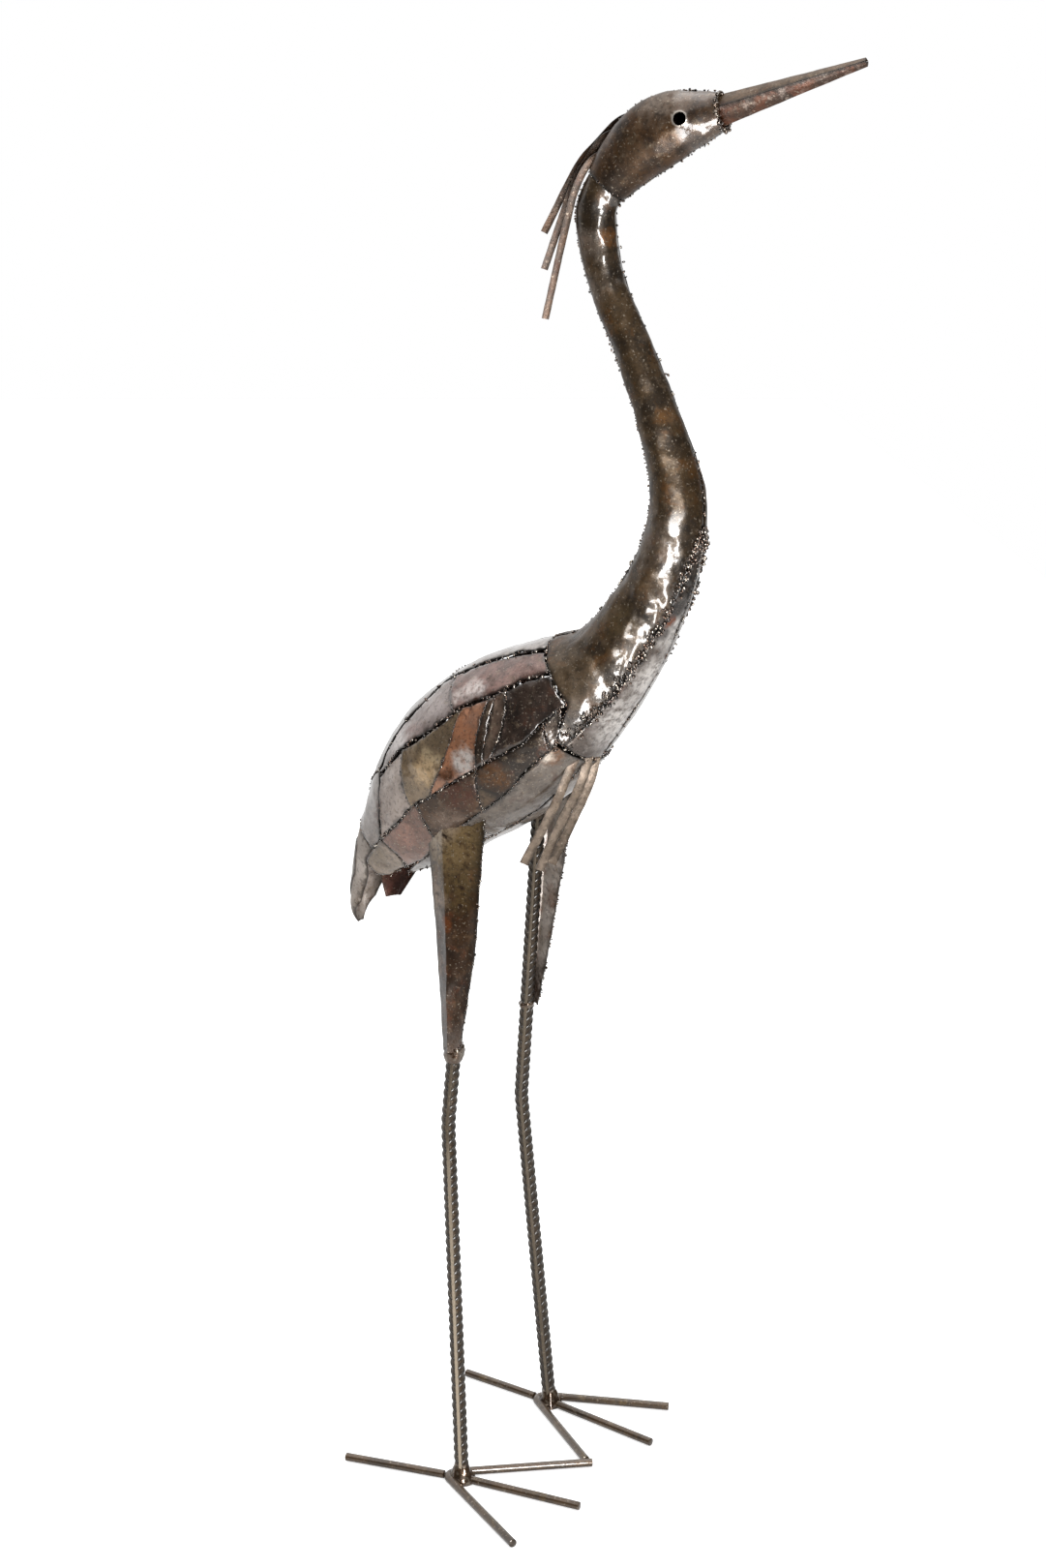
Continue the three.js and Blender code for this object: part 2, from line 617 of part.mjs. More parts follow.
function addSide(name, sign, plates, leg, thighSections) {
  add(headGroup, `head_${name}_half`, headHalf(sign), STEEL.brown);
  add(neckGroup, `neck_${name}_half`, neckHalf(sign), STEEL.brown);
  add(neckGroup, `breast_${name}_plate`, breastPlate(sign), STEEL.grey);
  const present = Object.entries(plates).filter(([, outline]) => outline);
  present.forEach(([plateName, outline], index) => {
    const color = PLATE_COLORS[index % PLATE_COLORS.length];
    add(bodyGroup, `${name}_${plateName}`, sidePlate(outline, sign), color);
  });
  const legGroup = assembly(...leg.foot);
  add(legGroup, `${name}_thigh_sheet`, thigh(thighSections, leg, sign), STEEL.dark);
  add(legGroup, `${name}_leg_bar`, legBar(leg), STEEL.bar, 0.4);
  Object.entries(foot(leg, sign)).forEach(([toeName, geometry]) => {
    add(legGroup, `${name}_${toeName}`, geometry, STEEL.bar, 0.4);
  });
}

addSide('right', -1, SIDE_PLATES, RIGHT_LEG, RIGHT_THIGH);
addSide('left', 1, LEFT_PLATES, LEFT_LEG, LEFT_THIGH);
add(headGroup, 'bill_upper_sheet', billHalf(1), STEEL.grey);
add(headGroup, 'bill_lower_sheet', billHalf(-1), STEEL.copper);
CREST.forEach((shape, index) => {
  add(headGroup, `crest_strip_${index + 1}`, strip(shape, STRIP_WIDTH, headCutter), STEEL.brown);
});
add(bodyGroup, 'keel_plate', keelPlate(), STEEL.grey);
BREAST_PLUMES.forEach((shape, index) => {
  const geometry = strip(shape, PLUME_WIDTH, bodyCutter);
  add(bodyGroup, `breast_plume_${index + 1}`, geometry, STEEL.grey);
});
add(bodyGroup, 'tail_blade', tailBlade(TAIL_BLADE, 8, 6), STEEL.grey);
add(bodyGroup, 'tail_covert', tailBlade(TAIL_COVERT, 5, 4), STEEL.grey);
add(bodyGroup, 'tail_scoop', scoop(), STEEL.dark);

export default bird;
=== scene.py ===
"""Heron garden statue, welded up from hammered scrap sheet steel and ribbed bar.

Sizes are in millimetres in the bird's own frame, whose origin lies on the floor midway
between the feet. They become metres in the model's frame when a mesh is made.
"""

import logging
import math
from dataclasses import dataclass, field, replace
from enum import Enum
from typing import Any, Callable, Sequence

import bpy
import numpy as np
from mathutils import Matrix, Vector, noise
from mathutils.bvhtree import BVHTree


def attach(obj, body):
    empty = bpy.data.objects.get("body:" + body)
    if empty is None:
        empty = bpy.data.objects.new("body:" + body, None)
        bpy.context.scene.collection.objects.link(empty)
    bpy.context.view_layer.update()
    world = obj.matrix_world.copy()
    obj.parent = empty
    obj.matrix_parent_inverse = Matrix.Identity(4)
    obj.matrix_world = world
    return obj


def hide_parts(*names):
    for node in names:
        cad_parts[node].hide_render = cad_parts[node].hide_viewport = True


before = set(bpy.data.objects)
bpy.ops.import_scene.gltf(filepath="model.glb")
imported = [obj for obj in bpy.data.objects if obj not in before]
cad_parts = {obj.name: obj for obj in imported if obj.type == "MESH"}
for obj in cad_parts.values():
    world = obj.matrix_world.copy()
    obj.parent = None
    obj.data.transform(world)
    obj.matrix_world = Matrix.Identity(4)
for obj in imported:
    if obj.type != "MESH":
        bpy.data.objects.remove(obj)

MM = 0.001
MIDDLE = np.array([86.1, -20.8, 0.0])  # origin of the model in the bird's frame
SHEET = 1.6  # thickness of the sheet steel
GRID = 2.4  # spacing of the points of a hammered sheet
NO_EDGE = 20.0  # distance to the edge where no welded edge is near
BODY = "root"
SIDES = (("right", -1), ("left", 1))
log = logging.getLogger("heron")

Array = np.ndarray
Point = tuple[float, float, float]
Outline = Callable[[Array, Array], tuple[Array, Array]]
Tree = bpy.types.NodeTree
Node = bpy.types.Node
Socket = bpy.types.NodeSocket
Object = bpy.types.Object


# ---------------------------------------------------------------- numbers and noise


def mix(a: float | Array, b: float | Array, u: Array) -> Array:
    """Value between a and b at u."""
    return a + (b - a) * u


def ripple(points: Array, size: float, seed: float) -> Array:
    """Smooth noise of about -1 to 1 at each point, its swells a size in mm wide."""
    values = [noise.noise(p) for p in (points.reshape(-1, 3) / size + seed).tolist()]
    return 1.5 * np.array(values).reshape(points.shape[:-1])


def dishes(points: Array, size: float, seed: float) -> Array:
    """Shallow round dishes side by side, a size in mm apart, as a ball hammer leaves them.

    Args:
        points: Array of points, in mm.
        size: Distance between blows, in mm.
        seed: Shift that gives another pattern.
    Returns:
        About -0.5 in the middle of a dish, up to 0.6 on the ridges between them.
    """
    near = [noise.voronoi(p)[0][0] for p in (points.reshape(-1, 3) / size + seed).tolist()]
    return 2.4 * np.array(near).reshape(points.shape[:-1]) ** 2 - 0.5


def seed_of(name: str) -> float:
    """Shift of the noise patterns that belongs to a piece's name."""
    return sum(i * ord(c) for i, c in enumerate(name, 1)) % 997 / 7.0


def cubic(rows: Sequence, t: Array) -> tuple[Array, Array]:
    """Smooth curve through rows of values.

    Args:
        rows: One row for each whole number of t.
        t: Places along the rows.
    Returns:
        Values and slopes at t.
    """
    values = np.array(rows, float)
    last = len(values) - 1
    t = np.clip(t, 0, last)
    i = np.minimum(t.astype(int), last - 1)
    w = (t - i)[..., None]
    padded = np.vstack([2 * values[:1] - values[1:2], values, 2 * values[-1:] - values[-2:-1]])
    a, b, c, d = (padded[i + k] for k in range(4))
    m, n = (c - a) / 2, (d - b) / 2
    cube, square = 2 * b - 2 * c + m + n, -3 * b + 3 * c - 2 * m - n
    return ((cube * w + square) * w + m) * w + b, (3 * cube * w + 2 * square) * w + m


def along_pairs(pairs: Sequence, at: Array) -> Array:
    """Value at some places of a broken line given as pairs of place and value."""
    return np.interp(at, *zip(*pairs))


def unit(vectors: Array) -> Array:
    """Vectors brought to length 1."""
    return vectors / (np.linalg.norm(vectors, axis=-1, keepdims=True) + 1e-9)


# ---------------------------------------------------------------- finishes


def linear(hex_color: str) -> tuple[float, float, float, float]:
    """Linear colour of an sRGB hex value."""
    parts = [int(hex_color[i : i + 2], 16) / 255 for i in (0, 2, 4)]
    return (*(c / 12.92 if c <= 0.04045 else ((c + 0.055) / 1.055) ** 2.4 for c in parts), 1.0)


def add_node(tree: Tree, kind: str, inputs: dict | Sequence = (), **settings: Any) -> Node:
    """Adds a node to a tree.

    Args:
        tree: Tree that gets the node.
        kind: Type name of the node, from which "ShaderNode" is left off.
        inputs: What the inputs get, in their order or by name or number: a value, a
            socket, or a node for the first of its outputs that is in use.
        settings: Properties of the node.
    Returns:
        The node.
    """
    node = tree.nodes.new(kind if "Node" in kind else f"ShaderNode{kind}")
    for name, value in settings.items():
        setattr(node, name, value)
    for key, value in inputs.items() if isinstance(inputs, dict) else enumerate(inputs):
        if isinstance(value, Node):
            value = next(out for out in value.outputs if out.enabled)
        if isinstance(value, Socket):
            tree.links.new(value, node.inputs[key])
        else:
            node.inputs[key].default_value = value
    return node


def lay_over(tree: Tree, under: Node, color: str, mask: Node | Socket, strength: float = 1.0) -> Node:
    """Colour laid over what is there already.

    Args:
        tree: Material's tree.
        under: Colour so far.
        color: Hex colour to lay on.
        mask: Where it lies.
        strength: How much of it shows there.
    Returns:
        Node of the mixed colour.
    """
    part = add_node(tree, "Math", (mask, strength), operation="MULTIPLY")
    return add_node(tree, "Mix", {0: part, 6: under, 7: linear(color)}, data_type="RGBA")


@dataclass(frozen=True)
class Finish:
    """Finish of a metal part, whose material is made once."""

    name: str

    def surface(self, tree: Tree, place: Socket) -> dict[str, Any]:
        """Inputs of the shader, from the place on the piece."""
        raise NotImplementedError

    def material(self) -> bpy.types.Material:
        """The Blender material of this finish.

        Returns:
            The material, the same one each time.
        """
        made = bpy.data.materials.get(self.name)
        if not made:
            made = bpy.data.materials.new(self.name)
            made.use_nodes = True
            tree = made.node_tree
            tree.nodes.clear()
            place = add_node(tree, "TexCoord").outputs["Object"]
            shader = add_node(tree, "BsdfPrincipled", self.surface(tree, place))
            add_node(tree, "OutputMaterial", (shader,))
        return made


@dataclass(frozen=True)
class Spots:
    """Irregular spots: width in mm, share of the surface, soft border, how much they show."""

    width: float
    share: float
    soft: float
    strength: float = 1.0

    def mask(self, tree: Tree, place: Socket | Node) -> Node:
        """Mask of the spots.

        Args:
            tree: Material's tree.
            place: Place on the piece.
        Returns:
            Node of the mask, 0 to 1.
        """
        grain = add_node(tree, "TexNoise", {
            "Vector": place, "Scale": 1 / (self.width * MM), "Detail": 4.0, "Roughness": 0.62})
        edge = 0.5 + 0.32 * (0.5 - self.share)
        return add_node(tree, "MapRange", (grain, edge - self.soft, edge + self.soft))


@dataclass(frozen=True)
class Patch:
    """Stain, spot of wear or flash of temper colour at one place of the bird; some patches are painted
    reflections and some painted shade instead.
    """

    centre: Point
    reach: float
    color: str
    strength: float = 0.8

    def lay(self, tree: Tree, under: Node, place: Node, torn: Node) -> Node:
        """Lays the patch on the colour so far.

        Args:
            tree: Material's tree.
            under: Colour so far.
            place: Place on the piece, swayed so that the patch isn't round.
            torn: Mask of spots that breaks the patch up.
        Returns:
            Node of the mixed colour.
        """
        centre = tuple((np.array(self.centre) - MIDDLE) * MM)
        away = add_node(tree, "VectorMath", (place, centre), operation="DISTANCE").outputs["Value"]
        mask = add_node(tree, "MapRange", (away, self.reach * 1.25 * MM, self.reach * 0.55 * MM))
        broken = add_node(tree, "Math", (mask, torn), operation="MULTIPLY")
        return lay_over(tree, under, self.color, broken, self.strength)


# Widths in mm of the patterns on the steel, drawn a little coarser than they are
SWAY, SWAY_REACH = 16.0, 22.0  # how the outlines of rust and patches wander
SMOKE, SOOT_BAND = 7.0, (1.0, 7.5)  # how the soot along a weld frays, and how far it reaches
DULL_SPOTS, BRUSH_MARKS, STEEL_GRAIN = 20.0, 6.5, 1.6
SOOT, GRIT, SPECKS, TARNISH = "15110d", "1c1610", "b5a896", "6e5e4e"
LACQUERED, THIN = (1.0, 0.05), (0.3, 0.34)  # weight and roughness of the coat, whole or worn


@dataclass(frozen=True)
class SteelFinish(Finish):
    """Scrap sheet steel, fire-scaled and rusted, wire brushed and brushed with clear lacquer.

    The scale gives mottled dark browns and greys, and the lacquer gives sharp reflections over
    the duller steel. Where the brush left pale spots of bright steel the colour turns pale; these
    spots are partly wear and partly painted highlights, on the long ribs of the legs and round
    the eyes. Where a piece's attribute "dull" is 1 the lacquer is thin and matt, so that it
    hardly reflects.
    """

    base: str
    shade: str
    fleck: str = "7d6c58"
    rust: str = "4a2712"
    rust_share: float = 0.10
    fleck_share: float = 0.12
    blotch: float = 22.0
    metallic: float = 0.6
    roughness: float = 0.34
    peel: float = 0.25
    worn: str = "cfc6bb"
    patches: tuple[Patch, ...] = ()

    def surface(self, tree: Tree, place: Socket) -> dict[str, Any]:
        """Inputs of the shader.

        Args:
            tree: Material's tree.
            place: Place on the piece.
        Returns:
            Value or node of each input, by name.
        """
        worn, rim, dull = (
            add_node(tree, "Attribute", attribute_name=label).outputs["Fac"]
            for label in ("worn", "rim", "dull"))
        sway = add_node(tree, "TexNoise", {"Vector": place, "Scale": 1 / (SWAY * MM), "Detail": 3.0})
        centred = add_node(tree, "VectorMath", (sway.outputs["Color"], (0.5,) * 3), operation="SUBTRACT")
        shift = add_node(tree, "VectorMath", {0: centred, "Scale": SWAY_REACH * MM}, operation="SCALE")
        swayed = add_node(tree, "VectorMath", (place, shift), operation="ADD")

        # Mottled scale, then flecks, rust, the patches (stains, and also painted reflections and painted
        # shade), grit and bright specks
        mottle = Spots(self.blotch, 0.5, 0.11).mask(tree, place)
        color = add_node(tree, "Mix", {
            0: mottle, 6: linear(self.base), 7: linear(self.shade)}, data_type="RGBA")
        torn = Spots(7.0, 0.75, 0.12).mask(tree, place)
        for hue, where, spots in (
                (self.fleck, place, Spots(9.0, self.fleck_share, 0.06, 0.5)),
                (self.rust, swayed, Spots(20.0, self.rust_share, 0.06, 0.7))):
            color = lay_over(tree, color, hue, spots.mask(tree, where), spots.strength)
        for patch in self.patches:
            color = patch.lay(tree, color, swayed, torn)
        for hue, spots in ((GRIT, Spots(3.4, 0.25, 0.05, 0.45)), (SPECKS, Spots(2.2, 0.06, 0.03, 0.5))):
            color = lay_over(tree, color, hue, spots.mask(tree, place), spots.strength)
        # Pale steel where a piece marks it: partly polished steel on the long ribs of the legs, and a painted
        # highlight there and round the eyes
        color = lay_over(tree, color, self.worn, worn)

        # Soot and scale in a ragged band along the welded edges
        smoke = add_node(tree, "TexNoise", {"Vector": place, "Scale": 1 / (SMOKE * MM), "Detail": 3.0})
        reach = add_node(tree, "MapRange", (smoke, 0.36, 0.7, *SOOT_BAND))
        color = lay_over(tree, color, SOOT, add_node(tree, "MapRange", (rim, reach, 0.1)), 0.8)

        # Roughness of the steel, and the marks of the brush in the lacquer over it
        spots = Spots(DULL_SPOTS, 0.5, 0.2).mask(tree, place)
        rough = add_node(tree, "MapRange", {0: spots, 3: self.roughness - 0.09, 4: self.roughness + 0.1})
        peel = add_node(tree, "TexNoise", {
            "Vector": place, "Scale": 1 / (BRUSH_MARKS * MM), "Detail": 3.0, "Roughness": 0.55})
        bump = add_node(tree, "Bump", {"Strength": self.peel, "Distance": 1.2 * MM, "Height": peel})
        fine = add_node(tree, "TexNoise", {"Vector": place, "Scale": 1 / (STEEL_GRAIN * MM), "Detail": 2.0})
        grain = add_node(tree, "Bump", {
            "Strength": 0.18, "Distance": 0.5 * MM, "Height": fine, "Normal": bump})
        return {
            "Base Color": color, "Metallic": self.metallic, "Normal": grain, "Coat Normal": bump,
            "Roughness": add_node(tree, "Mix", {0: worn, 2: rough, 3: 0.2}, data_type="FLOAT"),
            "Specular Tint": add_node(tree, "Mix", {
                0: dull, 6: (1.0, 1.0, 1.0, 1.0), 7: linear(TARNISH)}, data_type="RGBA"),
            "Coat Weight": add_node(tree, "MapRange", {0: dull, 3: LACQUERED[0], 4: THIN[0]}),
            "Coat Roughness": add_node(tree, "MapRange", {0: dull, 3: LACQUERED[1], 4: THIN[1]})}


def steel(name: str, base: str, shade: str, *patches: Patch, **rest: Any) -> SteelFinish:
    """Steel finish with patches."""
    return SteelFinish(name, base, shade, patches=patches, **rest)


@dataclass(frozen=True)
class SpatterFinish(Finish):
    """Weld metal as laid, dark and glassy under the lacquer, with bright and brown drops."""

    name: str = "lacquered_weld_metal"
    dark: str = "241d17"
    bright: str = "9c9388"
    brown: str = "4b3627"
    metallic: float = 0.9
    drop: float = 4.0
    blotch: float = 18.0

    def surface(self, tree: Tree, place: Socket) -> dict[str, Any]:
        """Inputs of the shader.

        Args:
            tree: Material's tree.
            place: Place on the piece.
        Returns:
            Value or node of each input, by name.
        """
        drops, scale = (
            add_node(tree, "TexNoise", {"Vector": place, "Scale": 1 / (width * MM), "Detail": 2.0})
            for width in (self.drop, self.blotch))
        tan = add_node(tree, "MapRange", (scale, 0.42, 0.58))
        mask = add_node(tree, "MapRange", (drops, 0.54, 0.62))
        under = add_node(tree, "Mix", {0: tan, 6: linear(self.dark), 7: linear(self.brown)}, data_type="RGBA")
        color = add_node(tree, "Mix", {0: mask, 6: under, 7: linear(self.bright)}, data_type="RGBA")
        bump = add_node(tree, "Bump", {"Strength": 0.3, "Distance": 0.6 * MM, "Height": drops})
        return {"Base Color": color, "Metallic": self.metallic, "Roughness": 0.2, "Normal": bump,
                "Coat Weight": 1.0, "Coat Roughness": 0.04}


BROWN_WELD = SpatterFinish("brown_weld_metal", "33261b", "6f6355", "55402d", 0.6)


# ---------------------------------------------------------------- meshes


@dataclass
class Shell:
    """Points and faces of one closed mesh, with each point's distance to the nearest edge."""

    points: Array
    faces: list
    rim: Array
    dull: Array | None = None
    bare_and_sheen: Array | None = None

    def volume(self) -> float:
        """Six times the signed volume, negative when the faces point in."""
        rings = (self.points[list(face)] for face in self.faces)
        return sum(float(np.dot(c[0], np.cross(*c[k : k + 2]))) for c in rings for k in range(1, len(c) - 1))


def quads(rows: int, cols: int, closed: bool = False) -> Array:
    """Quads of a grid of points.

    Args:
        rows: Number of rows.
        cols: Number of points in a row.
        closed: Whether the last point of a row is joined to the first.
    Returns:
        Array of the four point numbers of each quad.
    """
    i, j = np.meshgrid(np.arange(rows - 1), np.arange(cols if closed else cols - 1), indexing="ij")
    k = (j + 1) % cols
    return np.stack([i * cols + j, i * cols + k, (i + 1) * cols + k, (i + 1) * cols + j], -1).reshape(-1, 4)


def sheet_shell(outer: Array, inner: Array, rim: Array, keep: Array | None = None,
                dull: Array | None = None, bare_and_sheen: Array | None = None) -> Shell:
    """Closed sheet between two grids of points.

    Args:
        outer: Grid of the outer face.
        inner: Grid of the inner face.
        rim: Distance of each grid point to the sheet's edge, in mm.
        keep: Which cells of the grid exist, or None for all.
        dull: How dull the lacquer is at each grid point, or None.
        bare_and_sheen: How pale the steel is painted at each grid point, partly for wear and partly as a
            highlight, or None.
    Returns:
        The sheet, its faces pointing out.
    """
    rows, cols = outer.shape[:2]
    cells = quads(rows, cols)
    if keep is not None:
        cells = cells[keep.ravel()]
    count = rows * cols
    edges = np.vstack([cells[:, [k, (k + 1) % 4]] for k in range(4)])
    codes = edges[:, 0] * count + edges[:, 1]
    border = edges[~np.isin(codes, edges[:, 1] * count + edges[:, 0])]
    walls = np.column_stack([border[:, 1], border[:, 0], border[:, 0] + count, border[:, 1] + count])
    faces = np.vstack([cells, cells[:, ::-1] + count, walls])
    points = np.vstack([outer.reshape(-1, 3), inner.reshape(-1, 3)])
    p, q = points[cells], points[cells + count]
    way = np.cross(p[:, 2] - p[:, 0], p[:, 3] - p[:, 1])
    if float(np.sum(way * (p.mean(1) - q.mean(1)))) < 0:
        faces = faces[:, ::-1]
    used, faces = np.unique(faces, return_inverse=True)
    rim, dull, bare_and_sheen = (None if v is None else np.tile(v.ravel(), 2)[used] for v in (rim, dull, bare_and_sheen))
    return Shell(points[used], faces.reshape(-1, 4).tolist(), rim, dull, bare_and_sheen)


def ring_shell(rings: Array) -> Shell:
    """Closed body of rings of points, flat at both ends.

    Args:
        rings: Array of rings of points.
    Returns:
        The body, its faces pointing out.
    """
    rows, sides = rings.shape[:2]
    count = rows * sides
    faces = quads(rows, sides, closed=True).tolist()
    faces += [list(range(sides))[::-1], list(range(count - sides, count))]
    shell = Shell(rings.reshape(-1, 3), faces, np.full(count, NO_EDGE))
    if shell.volume() < 0:
        shell.faces = [face[::-1] for face in faces]
    return shell


def floor_bar(path: Array, radius: float, sides: int = 16, bevel: float = 0.7) -> Shell:
    """Round bar along a level path, its two ends cut square with a small bevel.

    Args:
        path: Points of the axis.
        radius: Radius of the bar.
        sides: Number of sides.
        bevel: Width of the bevel at the ends.
    Returns:
        The bar.
    """
    along = unit(np.gradient(path, axis=0))
    side = np.empty_like(path)
    side[0] = unit(np.cross(along[0], (0.0, 0.0, 1.0)))
    for i in range(1, len(path)):
        side[i] = unit(side[i - 1] - along[i] * np.dot(side[i - 1], along[i]))
    other = np.cross(along, side)
    angle = (np.arange(sides) * 2 * math.pi / sides)[:, None]
    rings = path[:, None] + (side[:, None] * np.cos(angle) + other[:, None] * np.sin(angle)) * radius
    for end in (0, -1):
        rings[end] = path[end] + (rings[end] - path[end]) * (1 - bevel / radius)
    return ring_shell(rings)


def make_mesh(name: str, points: Array, edges: list, faces: list) -> bpy.types.Mesh:
    """Mesh in the model's frame.

    Args:
        name: Name of the mesh.
        points: Its points, in mm in the bird's frame.
        edges: Pairs of points that are joined.
        faces: Its faces.
    Returns:
        The mesh, in metres.
    """
    mesh = bpy.data.meshes.new(name)
    mesh.from_pydata(((points - MIDDLE) * MM).tolist(), edges, faces)
    return mesh


def add_object(name: str, data: bpy.types.ID) -> Object:
    """Adds an object to the scene.

    Args:
        name: Name of the object.
        data: Its mesh, light or camera.
    Returns:
        The object, at the origin.
    """
    obj = bpy.data.objects.new(name, data)
    bpy.context.scene.collection.objects.link(obj)
    return obj


def install(obj: Object, slot: str, *nodes: str) -> None:
    """Hangs a finished piece on the statue.

    Args:
        obj: The piece, in place.
        slot: Material slot of the record that its finish is from.
        nodes: Solids that it stands for.
    """
    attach(obj, BODY)
    if nodes:
        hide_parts(*nodes)
    log.info("%s: %d faces, slot %s", obj.name, len(obj.data.polygons), slot)


def add_piece(name: str, shell: Shell, finish: Finish, slot: str, *nodes: str, sharp: float = 38.0) -> None:
    """Makes a piece of a shell and hangs it on the statue.

    Args:
        name: Name of the piece.
        shell: Its mesh.
        finish: Its finish.
        slot: Material slot of the record that the finish is from.
        nodes: Solids that it stands for.
        sharp: Angle in degrees above which an edge stays sharp.
    """
    mesh = make_mesh(name, shell.points, [], shell.faces)
    for label, values in (("rim", shell.rim), ("dull", shell.dull), ("worn", shell.bare_and_sheen)):
        if values is not None:
            mesh.attributes.new(label, "FLOAT", "POINT").data.foreach_set("value", values.astype(np.float32))
    mesh.materials.append(finish.material())
    mesh.shade_smooth()
    mesh.set_sharp_from_angle(angle=math.radians(sharp))
    install(add_object(name, mesh), slot, *nodes)


@dataclass(frozen=True)
class Hammering:
    """Marks of the hammer that rounded a sheet."""

    blow: float = 22.0
    depth: float = 0.8
    waviness: float = 0.9

    def height(self, points: Array, seed: float) -> Array:
        """Relief of the marks.

        Args:
            points: Points of the sheet.
            seed: Shift that gives another pattern.
        Returns:
            How far each point stands out or in, in mm.
        """
        marks = dishes(points, self.blow, seed) * self.depth
        swell = ripple(points, 2.1 * self.blow, seed + 3) * self.waviness
        return marks + swell + 0.22 * ripple(points, 7.0, seed + 9)


@dataclass(frozen=True)
class Pucker:
    """Place where the heat of welding has crumpled a sheet, which breaks up its reflections."""

    centre: Point
    reach: Point
    size: float
    depth: float

    def height(self, points: Array, seed: float) -> Array:
        """How far each point stands out or in, in mm."""
        away = np.linalg.norm((points - np.array(self.centre)) / np.array(self.reach), axis=-1)
        return self.depth * ripple(points, self.size, seed) * np.clip(1.5 - away, 0, 1)


@dataclass(frozen=True)
class Loft:
    """Ellipse swept along a bent centre line, given as rows of x, z, depth and width."""

    stations: tuple[tuple[float, float, float, float], ...]

    @property
    def last(self) -> int:
        """Number of the last station."""
        return len(self.stations) - 1

    def skin(self, station: Array, degrees: Array, inset: float = 0.0) -> Array:
        """Points of the skin.

        Args:
            station: Places along the loft.
            degrees: Angles from the back line, the left side positive.
            inset: How far below the skin.
        Returns:
            Array of points in the bird's frame.
        """
        station, degrees = np.broadcast_arrays(np.asarray(station, float), np.asarray(degrees, float))
        at, slope = cubic(self.stations, station)
        along = unit(slope[..., :2])
        angle = np.radians(degrees)
        back = (at[..., 2] - inset) * np.cos(angle)
        side = (at[..., 3] - inset) * np.sin(angle)
        return np.stack([at[..., 0] + along[..., 1] * back, side, at[..., 1] - along[..., 0] * back], -1)

    def centre(self, station: Array) -> Array:
        """Points of the centre line."""
        at = cubic(self.stations, station)[0]
        return np.stack([at[..., 0], 0 * at[..., 0], at[..., 1]], -1)

    def surface(self) -> BVHTree:
        """Inside of the sheets on this loft.

        Returns:
            A surface that rays can be cast at.
        """
        s, a = np.meshgrid(np.linspace(0, self.last, 160), np.arange(0, 360, 6), indexing="ij")
        points = self.skin(s, a, SHEET).reshape(-1, 3)
        return BVHTree.FromPolygons(points.tolist(), quads(*s.shape, closed=True).tolist())


@dataclass(frozen=True)
class Gaps:
    """Half of the open joint at each edge of a plate, in mm, and how ragged the cut is."""

    front: float = 0.5
    rear: float = 0.5
    upper: float = 0.5
    lower: float = 0.5
    ragged: float = 0.45


# Sizes in mm of a plate's edges: where its cut waves, is rounded off and laps the next plate
EDGE_BAND, EDGE_ROUND, EDGE_DROP, LAP_BAND = 9.0, 0.8, 0.45, 14.0
CUT_WAVES = (5.0, 17.0)  # small and large wanderings of a hand cut, in mm
# Sizes of the burr round a hole; the last is the width of a pale rim painted along it as a highlight
LIP_HEIGHT, LIP_WIDTH, LIP_SHEEN = 0.6, 2.2, 0.9  # burr round a hole, in mm
BACK_ENDS, BACK_FADE = 108.0, 15.0  # degrees from the back line where a dull back ends


